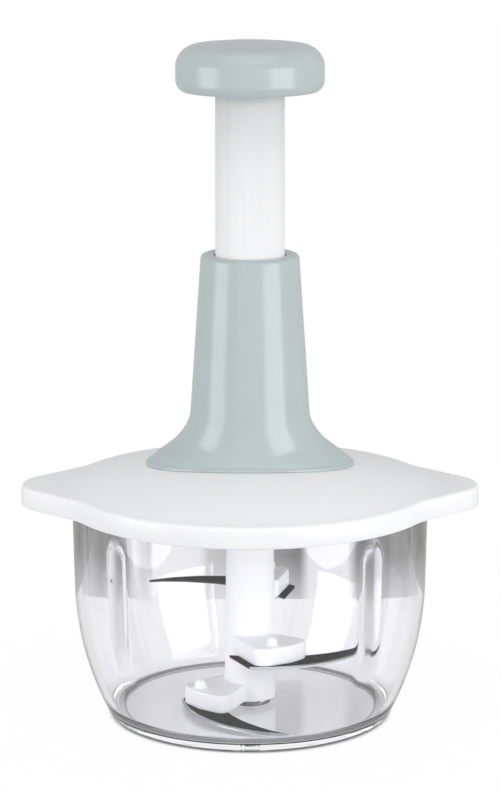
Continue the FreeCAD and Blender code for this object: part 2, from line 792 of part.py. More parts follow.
neck_pad_bottom = f"({inside_dome('sqrt(neck_screw_x^2 + neck_screw_y^2)')} - neck_pad_height)"
NECK_SCREWS = (("neck_screw_x", "neck_screw_y"), ("-neck_screw_x", "neck_screw_y"),
               ("-neck_screw_x", "-neck_screw_y"), ("neck_screw_x", "-neck_screw_y"))
for side, (x, y) in enumerate(NECK_SCREWS):
    pad = new_sketch(lid, f"lid_neck_pad_{side}_profile", "XY_Plane", neck_pad_bottom)
    round_hole(pad, x, y, "screw_boss_radius")
    raised(lid, f"lid_neck_pad_{side}", pad, "neck_pad_height")
for side, (x, y) in enumerate(NECK_SCREWS):
    hole = new_sketch(lid, f"lid_neck_hole_{side}_profile", "XY_Plane", neck_pad_bottom)
    round_hole(hole, x, y, "screw_hole_radius")
    raised(lid, f"lid_neck_hole_{side}", hole, "dome_rise", "Pocket", reverse=True)

# Seal, inner cover and its bush

seal = new_body("lid_seal")
turned(seal, "seal", "Revolution", [
    (cover_radius, f"{cover_bottom} + cover_lip_height"),
    (seal_bore, f"{cover_bottom} + cover_lip_height"),
    (seal_bore, "bowl_height"),
    ("bowl_rim_radius - seal_gap", "bowl_height"),
    ("bowl_rim_radius - seal_gap", lid_under),
    (cover_radius, lid_under),
])

cover = new_body("lid_inner_cover")
cover_hub = f"({coupler_bush_radius} + cover_hub_wall)"
turned(cover, "cover", "Revolution", [
    (coupler_bush_radius, cover_hub_bottom),
    (cover_hub, cover_hub_bottom),
    (cover_hub, cover_bottom),
    (f"{cover_radius} + cover_lip", cover_bottom),
    (f"{cover_radius} + cover_lip", f"{cover_bottom} + cover_lip_height"),
    (cover_radius, f"{cover_bottom} + cover_lip_height"),
    (cover_radius, lid_under),
    (f"{cover_radius} - cover_ring_width", lid_under),
    (f"{cover_radius} - cover_ring_width", cover_top),
    (cover_hub, cover_top),
    (cover_hub, cover_hub_top),
    (coupler_bush_radius, cover_hub_top),
])
cover_hole = new_sketch(cover, "cover_hole_profile", "XY_Plane", cover_bottom)
round_hole(cover_hole, cover_boss_at, cover_boss_at, "screw_hole_radius")
around(cover, raised(cover, "cover_hole", cover_hole, "cover_thickness", "Pocket", reverse=True),
       "cover_screw_count")

coupler_bush = new_body("coupler_bush")
turned(coupler_bush, "coupler_bush_sleeve", "Revolution", [
    ("coupler_journal_radius + running_gap", cover_hub_bottom),
    (coupler_bush_radius, cover_hub_bottom),
    (coupler_bush_radius, cover_hub_top),
    ("coupler_bush_flange", cover_hub_top),
    ("coupler_bush_flange", f"{cover_hub_top} + coupler_bush_flange_height"),
    ("coupler_journal_radius + running_gap", f"{cover_hub_top} + coupler_bush_flange_height"),
])


def screw(length):
    """A pan-headed screw at the origin, its head below the XY plane and its shank above."""
    shank = value("screw_radius")
    head = value("screw_head_radius")
    crown = value("screw_head_crown")
    drop = value("screw_head_height")
    solid = Part.makeCylinder(shank, length)
    solid = solid.fuse(Part.makeCylinder(head, drop / 2, Vector(0, 0, -drop / 2)))
    solid = solid.fuse(Part.makeCone(crown, head, drop / 2, Vector(0, 0, -drop)))
    return solid.removeSplitter()


def screws_at(label, places):
    """One group of screws, all upright, at the given places."""
    group = []
    for place in places:
        item = screw(value("screw_length"))
        item.translate(Vector(*place))
        group.append(item)
    return shaped(label, Part.makeCompound(group))


cover_seat = value("cover_screw_circle") / math.sqrt(2)
screws_at("cover_screws", [
    (x * cover_seat, y * cover_seat, value(cover_bottom))
    for x in (1, -1) for y in (1, -1)
])
screws_at("housing_screws", [
    (x * value("neck_screw_x"), y * value("neck_screw_y"), value(neck_pad_bottom))
    for x in (1, -1) for y in (1, -1)
])

# Neck housing: a tapered tube that flares into a two-eared flange on the dome

flange_height = f"({dome_top} - {dome_bend} + sqrt({dome_bend}^2 - flange_half_length^2))"
flare_bottom = f"({flange_height} + flange_lip)"
flare_top = f"({flare_bottom} + flare_height)"
neck_slope = f"((neck_base_radius - neck_top_radius) / (neck_top_height - {flare_top}))"
neck_bore_top = f"(neck_top_radius - neck_wall + {neck_slope} * neck_lip)"
neck_mouth = "(tube_radius + neck_mouth_gap)"
FLARE_STEPS = (-0.06, 0.1, 0.28, 0.55, 1.0)


def flare(name, inset):
    """Ellipses from the flange up to the neck, and the loft through them."""
    ovals = []
    for step, share in enumerate(FLARE_STEPS):
        spread = (1 - max(share, 0)) ** value("flare_curve")
        skin = f"({inset} * (1 + flare_thickening * {spread:.5f}))"
        reach_x = "(flange_half_length - flange_ledge - neck_base_radius)"
        reach_y = "(flange_half_width - flange_ledge - neck_base_radius)"
        long = f"neck_base_radius + {spread:.5f} * {reach_x} - {skin}"
        wide = f"neck_base_radius + {spread:.5f} * {reach_y} - {skin}"
        height = f"{flare_bottom} + {share} * flare_height"
        if inset != "0" and step == 0:
            height = f"{flange_height} - neck_boss_height"
        ovals.append(part("Ellipse", f"{name}_oval_{step}", MajorRadius=long, MinorRadius=wide,
                          at=("0", "0", height)))
    return part("Loft", name, Sections=ovals, Solid=True, Ruled=inset != "0")


flare_outer = flare("flare_outer", "0")
flare_inner = flare("flare_inner", "neck_wall")
neck_outer = new_body("neck_outer")
turned(neck_outer, "neck_taper", "Revolution", [
    ("0", f"{flare_top} - overcut"),
    ("neck_base_radius", f"{flare_top} - overcut"),
    ("neck_base_radius", flare_top),
    ("neck_top_radius", "neck_top_height - neck_top_round", "neck_top_round", 1, 3),
    ("neck_top_radius - neck_top_round", "neck_top_height"),
    ("0", "neck_top_height"),
])
neck_inner = new_body("neck_inner")
turned(neck_inner, "neck_bore", "Revolution", [
    ("0", f"{flare_top} - overcut"),
    ("neck_base_radius - neck_wall", f"{flare_top} - overcut"),
    ("neck_base_radius - neck_wall", flare_top),
    (neck_bore_top, collar_bottom),
    (neck_bore_top, collar_top),
    (neck_mouth, collar_top),
    (neck_mouth, "neck_top_height + overcut"),
    ("0", "neck_top_height + overcut"),
])
flange_oval = part("Ellipse", "flange_oval", at=("0", "0", f"{flange_height} - overcut"),
                   MajorRadius="flange_half_length", MinorRadius="flange_half_width")
flange_block = part("Extrusion", "flange_block", Base=flange_oval, Dir=Vector(0, 0, 1), Solid=True,
                    LengthFwd=f"{dome_top} + flange_lip - {flange_height} + 2 * overcut")
flange_block.DirMode = "Custom"
ball_centre = ("0", "0", f"{dome_top} - {dome_bend}")
dome_ball = part("Sphere", "dome_ball", at=ball_centre, Radius=dome_bend)
lip_ball = part("Sphere", "lip_ball", at=ball_centre, Radius=f"{dome_bend} + flange_lip")
flange = part("Common", "flange", Base=flange_block, Tool=lip_ball)
neck_mass = part("MultiFuse", "neck_mass", Shapes=[neck_outer, flare_outer, flange])
neck_void = part("MultiFuse", "neck_void", Shapes=[neck_inner, flare_inner, dome_ball])
neck_skin = part("Cut", "neck_skin", Base=neck_mass, Tool=neck_void)

# Inside the neck: two pairs of rails that keep the plunger from turning, and four screw bosses

fittings = []
pilots = []
rail_length = "(flange_half_length - rail_reach)"
rail_height = f"({collar_bottom} - {dome_top} + 2 * flare_height / 5)"
boss_height = f"{dome_top} - {neck_pad_bottom} + neck_boss_height"
for index, (x, y) in enumerate(((1, 1), (-1, 1), (-1, -1), (1, -1))):
    rail_x = "rail_reach" if x > 0 else "-flange_half_length"
    rail_y = "key_width / 2 + key_gap" if y > 0 else "-(key_width / 2 + key_gap + rail_width)"
    fittings.append(part("Box", f"neck_rail_{index}", at=(rail_x, rail_y, f"{collar_bottom} - {rail_height}"),
                         Length=rail_length, Width="rail_width", Height=rail_height))
    screw_at = (f"{x} * neck_screw_x", f"{y} * neck_screw_y", neck_pad_bottom)
    fittings.append(part("Cylinder", f"neck_boss_{index}", at=screw_at,
                         Radius="neck_boss_radius", Height=boss_height))
    pilots.append(part("Cylinder", f"neck_pilot_{index}", at=screw_at,
                       Radius="screw_pilot_radius", Height="screw_length + end_gap"))
fitting_mass = part("MultiFuse", "fitting_mass", Shapes=fittings)
fitting_inside = part("Common", "fitting_inside", Base=fitting_mass, Tool=neck_mass)
fitting_trimmed = part("Cut", "fitting_trimmed", Base=fitting_inside, Tool=dome_ball)
neck_solid = part("Fuse", "neck_solid", Base=neck_skin, Tool=fitting_trimmed)
neck_pilots = part("MultiFuse", "neck_pilots", Shapes=pilots)
neck_housing = part("Cut", "neck_housing", Base=neck_solid, Tool=neck_pilots)

collar = new_body("neck_collar")
turned(collar, "collar", "Revolution", [
    ("tube_radius + slide_gap", collar_bottom),
    (neck_bore_top, collar_bottom),
    (neck_bore_top, collar_top),
    ("tube_radius + slide_gap", collar_top),
])

# Plunger: tube, knob with its underplate and screws, and the nut the rod runs in

tube = new_body("plunger_tube")
nut_seat_radius = "(tube_radius - nut_seat_wall)"
turned(tube, "tube", "Revolution", [
    (nut_seat_radius, tube_bottom),
    ("tube_flange_radius", tube_bottom),
    ("tube_flange_radius", tube_flange_top),
    ("tube_radius", tube_flange_top),
    ("tube_radius", tube_top),
    ("tube_radius - tube_wall", tube_top),
    ("tube_radius - tube_wall", nut_top),
    (nut_seat_radius, nut_top),
])


def keys(body, name, bottom, inner, outer, width, height, kind, turn):
    """Two opposite bars or slots, from an inner to an outer reach."""
    for side, sign in (("near", ""), ("far", "-")):
        sketch = new_sketch(body, f"{name}_{side}_profile", "XY_Plane", bottom, turn)
        corners = [(sign + inner, f"-{width} / 2"), (sign + outer, f"-{width} / 2"),
                   (sign + outer, f"{width} / 2"), (sign + inner, f"{width} / 2")]
        outline(sketch, corners)
        raised(body, f"{name}_{side}", sketch, height, kind, reverse=kind == "Pocket")


keys(tube, "tube_key", tube_bottom, "tube_radius", "key_reach", "key_width", "tube_flange_height", "Pad", "0")
keys(tube, "tube_keyway", tube_bottom, "(tube_radius - tube_wall)",
     "(tube_radius - nut_seat_wall + nut_key_reach)", "(nut_key_width + 2 * nut_gap)",
     "nut_recess + nut_height", "Pocket", "90")


def cross_hole(body, name, radius, length):
    """A hole along X at the height of the knob's screws."""
    sketch = new_sketch(body, name + "_profile", "YZ_Plane")
    round_hole(sketch, "0", knob_screw_height, radius)
    raised(body, name, sketch, length, "Pocket", both=True)


knob_screw_height = f"({knob_bottom} + knob_screw_rise)"
socket_radius = "(tube_radius + nut_gap)"
socket_outer = "(tube_radius + socket_wall)"
cross_hole(tube, "tube_screw_hole", "screw_pilot_radius", "2 * knob_radius")

knob = new_body("push_knob")
cavity_radius = "(knob_radius - knob_wall)"
ceiling = f"({knob_top} - knob_roof)"
crown_bend = "((knob_crown_radius^2 + knob_crown^2) / (2 * knob_crown))"
turned(knob, "knob", "Revolution", [
    ("0", ceiling),
    ("tube_radius - tube_wall", ceiling),
    ("tube_radius - tube_wall", tube_top),
    (socket_radius, tube_top),
    (socket_radius, f"{knob_bottom} + underplate_thickness"),
    (socket_outer, f"{knob_bottom} + underplate_thickness"),
    (socket_outer, ceiling),
    ("knob_crown_radius", ceiling),
    (cavity_radius, f"{knob_top} - knob_shoulder - knob_crown"),
    (cavity_radius, knob_bottom),
    (f"{cavity_radius} + knob_land", knob_bottom, "knob_heel_bend", 1, 3),
    ("knob_radius", f"{knob_bottom} + knob_heel"),
    ("knob_radius", f"{knob_top} - knob_shoulder", "knob_shoulder_bend", 1, 6),
    ("knob_crown_radius", f"{knob_top} - knob_crown", crown_bend, 1, 3),
    ("0", knob_top),
])
cross_hole(knob, "knob_screw_hole", "screw_hole_radius", "2 * (tube_radius + socket_wall + overcut)")

underplate = new_body("knob_underplate")
turned(underplate, "underplate", "Revolution", [
    ("tube_radius + key_gap", knob_bottom),
    (f"{cavity_radius} - nut_gap", knob_bottom),
    (f"{cavity_radius} - nut_gap", f"{knob_bottom} + underplate_thickness"),
    ("tube_radius + key_gap", f"{knob_bottom} + underplate_thickness"),
])

knob_screws = []
for turn in (0, 180):
    item = screw(value("knob_screw_length"))
    item.rotate(Vector(0, 0, 0), Vector(0, 1, 0), -90)
    item.translate(Vector(value(socket_outer), 0, value(knob_screw_height)))
    item.rotate(Vector(0, 0, 0), Vector(0, 0, 1), turn)
    knob_screws.append(item)
shaped("knob_screws", Part.makeCompound(knob_screws))

# Twisted rod and the nut on it: a square bar with flat facets, twisted left-handed


def twisted_bar(side, bottom, top, full):
    """A square bar from bottom to top, its corners on left-handed helices. Its flat
    facets lie outside the true twisted faces if it is full, as a bore needs, or else
    inside them, as a rod needs, so that the two never meet between their edges."""
    lead = value("rod_lead")
    count = math.ceil((top - bottom) / lead * value("twist_steps"))
    half = side / 2
    square = [(half, 0), (half, half), (0, half), (-half, half)]
    square += [(-x, -y) for x, y in square]
    rings = []
    for step in range(count + 1):
        height = bottom + (top - bottom) * step / count
        turn = Rotation(Vector(0, 0, 1), -360 * height / lead)
        rings.append([turn.multVec(Vector(x, y, 0)) + Vector(0, 0, height) for x, y in square])
    return polyhedron(rings, full)


def polyhedron(rings, full=True):
    """A closed solid of flat triangles through rings of points, one after another."""
    faces = []
    size = len(rings[0])
    for low, high in zip(rings, rings[1:]):
        for index in range(size):
            after = (index + 1) % size
            if full:
                faces.append([low[index], low[after], high[after]])
                faces.append([low[index], high[after], high[index]])
            else:
                faces.append([low[index], low[after], high[index]])
                faces.append([low[after], high[after], high[index]])
    faces.append(list(reversed(rings[0])))
    faces.append(rings[-1])
    shell = Part.makeShell([Part.Face(Part.makePolygon(corners + corners[:1])) for corners in faces])
    solid = Part.makeSolid(shell)
    return solid if solid.Volume > 0 else solid.reversed()


def column(radius, bottom, top):
    """An upright cylinder between two heights."""
    return Part.makeCylinder(radius, top - bottom, Vector(0, 0, bottom))


def square_bar(side, bottom, top):
    return Part.makeBox(side, side, top - bottom, Vector(-side / 2, -side / 2, bottom))


rod_side = value("rod_side")
journal = value("journal_radius")
twist_low = value(twist_bottom)
collar_low = value(rod_collar_bottom)
groove_low = value(f"{rod_clip_bottom} - running_gap")
groove_high = value(f"{rod_clip_top} + running_gap")
square_low = value(driver_bottom)
square_high = value(square_top)
pieces = [
    twisted_bar(rod_side, twist_low, value(rod_top), False),
    column(value("collar_radius"), collar_low, twist_low),
    column(journal, groove_high, collar_low),
    column(value("journal_radius - clip_groove"), groove_low, groove_high),
    column(journal, square_high, groove_low),
    square_bar(value("square_side"), square_low, square_high),
    column(value("pilot_radius"), square_low - value("pilot_length"), square_low),
]
shaped("twisted_rod", pieces[0].multiFuse(pieces[1:]))

nut_low = value(nut_bottom)
nut_high = value(nut_top)
nut_radius = value(f"{nut_seat_radius} - nut_gap")
nut = column(nut_radius, nut_low, nut_high)
key_tip = value(f"{nut_seat_radius} + nut_key_reach - nut_gap")
key_width = value("nut_key_width")
nut_key = Part.makeBox(key_width, 2 * key_tip, nut_high - nut_low)
nut_key.translate(Vector(-key_width / 2, -key_tip, nut_low))
nut = nut.fuse(nut_key).removeSplitter()
overcut = value("overcut")
bore = twisted_bar(rod_side + 2 * value("twist_gap"), nut_low - overcut, nut_high + overcut, True)
shaped("drive_nut", nut.cut(bore))

# Rod bush, thrust washer and the clip that keeps the rod in the lid's hub

rod_bush = new_body("rod_bush")
turned(rod_bush, "rod_bush_sleeve", "Revolution", [
    ("journal_radius + running_gap", hub_under),
    (rod_bush_radius, hub_under),
    (rod_bush_radius, hub_top),
    ("rod_bush_flange", hub_top),
    ("rod_bush_flange", washer_bottom),
    ("journal_radius + running_gap", washer_bottom),
])

washer = new_body("thrust_washer")
washer_top = f"({washer_bottom} + washer_thickness)"
turned(washer, "washer", "Revolution", [
    ("journal_radius + washer_gap", washer_bottom),
    ("washer_radius", washer_bottom),
    ("washer_radius", washer_top),
    ("journal_radius + washer_gap", washer_top),
])


def clip(label, shaft, bottom):
    """A flat C-shaped clip for the groove of a shaft."""
    body = new_body(label)
    inner = f"({shaft} - clip_groove + running_gap)"
    turned(body, label + "_ring", "Revolution", [
        (inner, bottom),
        (f"{inner} + clip_width", bottom),
        (f"{inner} + clip_width", f"{bottom} + clip_thickness"),
        (inner, f"{bottom} + clip_thickness"),
    ], sweep="360 - clip_mouth")


clip("rod_clip", "journal_radius", rod_clip_bottom)
coupler_clip_bottom = f"({cover_hub_bottom} - {clip_room})"
clip("coupler_clip", "coupler_journal_radius", coupler_clip_bottom)

# One-way coupling: the driver on the rod's square and the coupler below it, with
# saw teeth that lock one way and ride over each other the other way


def saw_teeth(body, name, root, up, gap):
    """Teeth around Z from a root height: upright on the face that drives, sloped behind."""
    sketch = new_sketch(body, name + "_profile", "YZ_Plane", "teeth_inner_radius")
    side = "-" if up else ""
    tip = f"{root} + teeth_height" if up else f"{root} - teeth_height"
    corners = [
        (f"{side}{gap}", root),
        (f"{side}{gap}", tip),
        (f"{side}teeth_land", tip),
        (f"{side}teeth_width", root),
    ]
    outline(sketch, corners)
    around(body, raised(body, name, sketch, "teeth_length"), "teeth_count")


driver = new_body("ratchet_driver")
turned(driver, "driver", "Revolution", [
    ("0", driver_bottom),
    ("driver_radius", driver_bottom),
    ("driver_radius", driver_top),
    ("0", driver_top),
])
saw_teeth(driver, "driver_teeth", driver_bottom, False, "teeth_gap")
square_socket = new_sketch(driver, "driver_socket_profile", "XY_Plane", driver_bottom)
half_square = "(square_side / 2 + square_gap)"
outline(square_socket, [(f"-{half_square}", f"-{half_square}"), (half_square, f"-{half_square}"),
                        (half_square, half_square), (f"-{half_square}", half_square)])
raised(driver, "driver_socket", square_socket, "driver_height", "Pocket", reverse=True)

disc = new_body("clutch_disc_spring")
turned(disc, "disc", "Revolution", [
    ("disc_spring_inner_radius", f"{rod_clip_bottom} - disc_spring_thickness"),
    ("disc_spring_outer_radius", driver_top),
    ("disc_spring_outer_radius", f"{driver_top} + disc_spring_thickness"),
    ("disc_spring_inner_radius", rod_clip_bottom),
])

coupler = new_body("drive_coupler")
pilot_bore = "(pilot_radius + running_gap)"
pilot_bottom = f"({driver_bottom} - pilot_length - end_gap)"
turned(coupler, "coupler", "Revolution", [
    ("0", coupler_shoulder),
    ("coupler_journal_radius", coupler_shoulder),
    ("coupler_journal_radius", f"{coupler_clip_bottom} - running_gap"),
    ("coupler_journal_radius - clip_groove", f"{coupler_clip_bottom} - running_gap"),
    ("coupler_journal_radius - clip_groove", f"{coupler_clip_bottom} + clip_thickness + running_gap"),
    ("coupler_journal_radius", f"{coupler_clip_bottom} + clip_thickness + running_gap"),
    ("coupler_journal_radius", coupler_flange_bottom),
    ("driver_radius", coupler_flange_bottom),
    ("driver_radius", coupler_top),
    (pilot_bore, coupler_top),
    (pilot_bore, pilot_bottom),
    ("0", pilot_bottom),
])
saw_teeth(coupler, "coupler_teeth", coupler_top, True, "teeth_gap")
hex_end = new_sketch(coupler, "coupler_hex_profile", "XY_Plane", coupler_shoulder)
hexagon(hex_end, "hex_width")
raised(coupler, "coupler_hex", hex_end, "hex_length", reverse=True)

# Return spring and its seat

spring_seat = new_body("spring_seat")
turned(spring_seat, "seat", "Revolution", [
    ("rod_bush_flange + key_gap", hub_top),
    ("rod_bush_flange + key_gap + seat_width", hub_top),
    ("rod_bush_flange + key_gap + seat_width", spring_bottom),
    ("rod_bush_flange + key_gap", spring_bottom),
])

wire = value("wire_radius")
coil = value("spring_radius")
spring_low = value(spring_bottom) + wire
spring_high = nut_low - wire
steps = int(value("spring_turns * spring_steps"))
sides = int(value("wire_sides"))
rings = []
middles = []
for step in range(steps + 1):
    turn = math.radians(360 * step / value("spring_steps"))
    height = spring_low + (spring_high - spring_low) * step / steps
    middles.append(Vector(coil * math.cos(turn), coil * math.sin(turn), height))
    ring = []
    for index in range(sides):
        angle = math.radians(360 * index / sides)
        out = coil + wire * math.sin(angle)
        ring.append(Vector(out * math.cos(turn), out * math.sin(turn), height + wire * math.cos(angle)))
    rings.append(ring)
shaped("return_spring", polyhedron(rings))
half_turn = int(value("spring_steps")) // 2
least = min(
    first.distanceToPoint(second) - 2 * wire
    for index, first in enumerate(middles)
    for second in middles[index + half_turn:]
)
print(f"return_spring: least gap between its turns {least:.2f} mm")

# Check every sub-part, then write one STEP file for each

doc.recompute()
for item in doc.Objects:
    if {"Invalid", "Error"} & set(item.State):
        raise RuntimeError(f"{item.Name} did not build: {item.State}")

NODES = (
    "bowl", "bowl_pivot_pin",
    "blade_carrier", "carrier_foot_bush", "blade_low", "blade_mid", "blade_high", "blade_rivets",
    "lid_shell", "lid_seal", "lid_inner_cover", "cover_screws",
    "neck_housing", "neck_collar", "housing_screws",
    "rod_bush", "thrust_washer", "spring_seat", "return_spring",
    "twisted_rod", "rod_clip", "ratchet_driver", "clutch_disc_spring",
    "drive_coupler", "coupler_bush", "coupler_clip",
    "plunger_tube", "drive_nut", "push_knob", "knob_underplate", "knob_screws",
)
for node in NODES:
    shape = doc.getObject(node).Shape
    if shape.isNull() or not shape.isValid():
        raise RuntimeError(f"{node} has no valid shape")
    shape.exportStep(f"parts/{node}.step")
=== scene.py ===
# %% [markdown]
# A push-down food chopper on a white ground: a clear bowl, a white lid with two ears,
# a light grey neck shaped like a trumpet, a white tube and a mushroom knob. The frame
# holds every piece at its real size and place. What follows dresses it: the pieces that
# show are modelled again with finer curves, and each gets the finish of the real one.

# %% Load the frame
import json
import math

import bmesh
import bpy
from mathutils import Matrix, Vector

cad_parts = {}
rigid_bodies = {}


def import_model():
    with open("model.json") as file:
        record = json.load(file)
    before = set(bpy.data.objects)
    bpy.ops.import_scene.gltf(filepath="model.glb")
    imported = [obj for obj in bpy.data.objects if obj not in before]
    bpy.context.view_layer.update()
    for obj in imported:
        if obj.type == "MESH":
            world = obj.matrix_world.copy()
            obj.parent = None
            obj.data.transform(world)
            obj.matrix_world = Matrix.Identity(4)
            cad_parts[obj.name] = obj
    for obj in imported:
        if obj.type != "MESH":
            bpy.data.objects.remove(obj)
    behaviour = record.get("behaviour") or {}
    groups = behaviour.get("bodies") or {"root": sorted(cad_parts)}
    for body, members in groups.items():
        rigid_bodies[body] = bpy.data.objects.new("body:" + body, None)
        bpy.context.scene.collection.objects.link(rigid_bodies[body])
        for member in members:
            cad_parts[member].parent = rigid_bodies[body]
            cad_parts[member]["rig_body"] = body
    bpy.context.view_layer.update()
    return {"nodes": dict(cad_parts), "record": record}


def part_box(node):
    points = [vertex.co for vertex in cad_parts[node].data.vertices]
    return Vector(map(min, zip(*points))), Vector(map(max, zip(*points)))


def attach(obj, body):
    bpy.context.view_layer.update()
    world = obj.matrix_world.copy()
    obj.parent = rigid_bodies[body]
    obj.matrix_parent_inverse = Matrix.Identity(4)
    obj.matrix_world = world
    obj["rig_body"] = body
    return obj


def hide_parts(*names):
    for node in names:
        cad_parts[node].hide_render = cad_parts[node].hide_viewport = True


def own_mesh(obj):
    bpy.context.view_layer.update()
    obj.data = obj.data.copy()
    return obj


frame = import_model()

MM = 0.001

# %% [markdown]
# Colours are easiest to read as the hex values of a paint chart, but a renderer adds and
# multiplies light, so it needs linear values. One function does the turning. A second one
# adds a node to a material with its settings and its links, and all finishes use it.

# %% Colours and nodes


def linear(code):
    """A hex colour such as "#BFCBCA" as linear red, green, blue and alpha."""
    channels = [int(code[start:start + 2], 16) / 255 for start in (1, 3, 5)]
    curve = [c / 12.92 if c <= 0.04045 else ((c + 0.055) / 1.055) ** 2.4 for c in channels]
    return (*curve, 1.0)


def node(tree, kind, settings=None, **inputs):
    """Add a node. Settings are its own options, inputs are values or sockets to link."""
    item = tree.nodes.new("ShaderNode" + kind)
    for key, setting in (settings or {}).items():
        setattr(item, key, setting)
    for key, source in inputs.items():
        socket = item.inputs[int(key[1:])] if key[1:].isdigit() else item.inputs[key.replace("_", " ")]
        if isinstance(source, bpy.types.NodeSocket):
            tree.links.new(source, socket)
        else:
            socket.default_value = source
    return item


def bare(name):
    """A new material and its node tree, with nothing in it yet."""
    material = bpy.data.materials.new(name)
    material.use_nodes = True
    material.node_tree.nodes.clear()
    return material, material.node_tree


# %% [markdown]
# Moulded plastic is never quite even. Its walls shrink as they cool, which leaves slow
# waves, and the steel mould prints its own fine grain. So each plastic here drifts a
# little in colour with the waves, in gloss with the grain, and in relief with both. The
# real grain is near 0.2 mm. It is drawn three to six times as coarse, so that it shows.

# %% A moulded finish


def moulded(name, dark, light, gloss, grain_mm=0.8, wave_mm=12.0, relief_mm=0.004, **shell):
    """A plastic between two shades, with its grain and its shrink waves in millimetres."""
    material, tree = bare(name)
    here = node(tree, "TexCoord").outputs["Object"]
    wave = node(tree, "TexNoise", Vector=here, Scale=1 / (wave_mm * MM), Detail=2.0).outputs["Fac"]
    grain = node(tree, "TexNoise", Vector=here, Scale=1 / (grain_mm * MM), Detail=3.0).outputs["Fac"]
    shade = node(tree, "ValToRGB", Fac=wave)
    shade.color_ramp.elements[0].color = linear(dark)
    shade.color_ramp.elements[1].color = linear(light)
    rough = node(tree, "MapRange", Value=grain, To_Min=gloss - 0.05, To_Max=gloss + 0.06)
    wave_to_grain = 3.0
    height = node(tree, "Math", {"operation": "MULTIPLY_ADD"}, _0=wave, _1=wave_to_grain, _2=grain)
    relief = node(tree, "Bump", Height=height.outputs["Value"], Distance=relief_mm * MM)
    shader = node(tree, "BsdfPrincipled", Base_Color=shade.outputs["Color"],
                  Roughness=rough.outputs["Result"], Normal=relief.outputs["Normal"], **shell)
    node(tree, "OutputMaterial", Surface=shader.outputs["BSDF"])
    print("finish:", name)
    return material


# %% [markdown]
# The neck and the knob are ABS in a cool light grey, from a polished mould: a soft gloss
# in which the studio's lamps show as two broad upright bands.

# %% Grey ABS
grey_abs = moulded("moulded_grey_abs", "#ADB9B9", "#B3BEBE", gloss=0.2, relief_mm=0.002, IOR=1.53)

# %% [markdown]
# The lid and the blade shaft are white polypropylene, a waxy plastic that light enters a
# little way before it comes back. A small subsurface part gives that soft look at thin
# edges. The shaft is a little duller than the lid, and whiter, in part painted light that
# makes up for the lid's shade over it.

# %% White polypropylene
white_pp = moulded("moulded_white_polypropylene", "#ECEDEE", "#F0F0F2", gloss=0.3, grain_mm=0.9,
                   Subsurface_Weight=0.12, Subsurface_Scale=0.0015, IOR=1.49)
# shaft_pp is whiter than white_pp: in part painted light for the lid's shade
shaft_pp = moulded("moulded_white_shaft_polypropylene", "#F6F6F8", "#FBFBFC", gloss=0.36, grain_mm=0.9,
                   Subsurface_Weight=0.15, Subsurface_Scale=0.002, IOR=1.49)

# %% [markdown]
# The tube is polypropylene too, but it slides through the collar at every stroke. That has
# polished it and left faint lines along it, paler and duller by turns. They are 2 mm
# apart, since the real ones, a few tenths of a millimetre apart, wouldn't show. The same
# noise as before makes them, squeezed to a fiftieth of its frequency along Z. Its white is
# brighter than the lid's, which is painted light against the shade under the knob.

# %% Rubbed tube
rub_mm, rub_squeeze = 2.0, (1, 1, 0.02)
tube_pp, tree = bare("rubbed_white_polypropylene")
here = node(tree, "TexCoord").outputs["Object"]
drawn = node(tree, "Mapping", Vector=here, Scale=rub_squeeze).outputs["Vector"]
lines = node(tree, "TexNoise", Vector=drawn, Scale=1 / (rub_mm * MM), Detail=3.0).outputs["Fac"]
shade = node(tree, "ValToRGB", Fac=lines)
# both shades whiter than the lid's: painted light against the shade under the knob
shade.color_ramp.elements[0].position, shade.color_ramp.elements[0].color = 0.35, linear("#F6F7F8")
shade.color_ramp.elements[1].position, shade.color_ramp.elements[1].color = 0.6, linear("#FAFAFB")
rough = node(tree, "MapRange", Value=lines, To_Min=0.15, To_Max=0.22)
shader = node(tree, "BsdfPrincipled", Base_Color=shade.outputs["Color"], Roughness=rough.outputs["Result"],
              Subsurface_Weight=0.12, Subsurface_Scale=0.0015, IOR=1.49)
node(tree, "OutputMaterial", Surface=shader.outputs["BSDF"])
print("finish:", tube_pp.name)

# %% [markdown]
# Bushes, nut and coupling are acetal, a hard slippery plastic of the same kind, but
# yellower. The seal is silicone rubber: translucent, dull, and soft enough to show a
# coarser grain.

# %% Acetal and silicone
acetal = moulded("moulded_natural_acetal", "#E6E3DA", "#EEECE5", gloss=0.42, grain_mm=0.6,
                 Subsurface_Weight=0.1, Subsurface_Scale=0.001, IOR=1.48)
silicone = moulded("moulded_translucent_silicone", "#D5DADB", "#E0E4E5", gloss=0.5, grain_mm=1.2,
                   Subsurface_Weight=0.3, Subsurface_Scale=0.002, IOR=1.41)

# %% [markdown]
# The bowl is clear SAN, a styrene plastic. It bends light more than window glass, index
# 1.57, and is very slightly grey. Its walls carry the faint orange peel of the mould, too
# shallow to see by itself, that breaks up long reflections. The peel is 9 mm long here,
# about its real size. A haze of scuffs is drawn at 2 mm, many times as coarse as real
# ones. The ribs are duller than the wall, since a mould is polished least in its grooves,
# and their grey is painted shade: an attribute, 0 on the wall and 1 on a rib, brings both in.

# %% Clear SAN
peel_mm, haze_mm, peel_relief_mm, rib_frost = 9.0, 2.0, 0.01, 0.18
clear_san, tree = bare("moulded_clear_san")
here = node(tree, "TexCoord").outputs["Object"]
peel = node(tree, "TexNoise", Vector=here, Scale=1 / (peel_mm * MM), Detail=1.0).outputs["Fac"]
haze = node(tree, "TexNoise", Vector=here, Scale=1 / (haze_mm * MM), Detail=3.0).outputs["Fac"]
shade = node(tree, "ValToRGB", Fac=peel)
shade.color_ramp.elements[0].color = linear("#F5F5F8")
shade.color_ramp.elements[1].color = linear("#FBFBFD")
on_rib = node(tree, "Attribute", {"attribute_name": "rib"}).outputs["Fac"]
# a rib's grey tint is painted shade; the frost further down is real
tint = node(tree, "Mix", {"data_type": "RGBA"}, _0=on_rib, _6=shade.outputs["Color"], _7=linear("#C6C6CA"))
rough = node(tree, "MapRange", Value=haze, To_Min=0.0, To_Max=0.03).outputs["Result"]
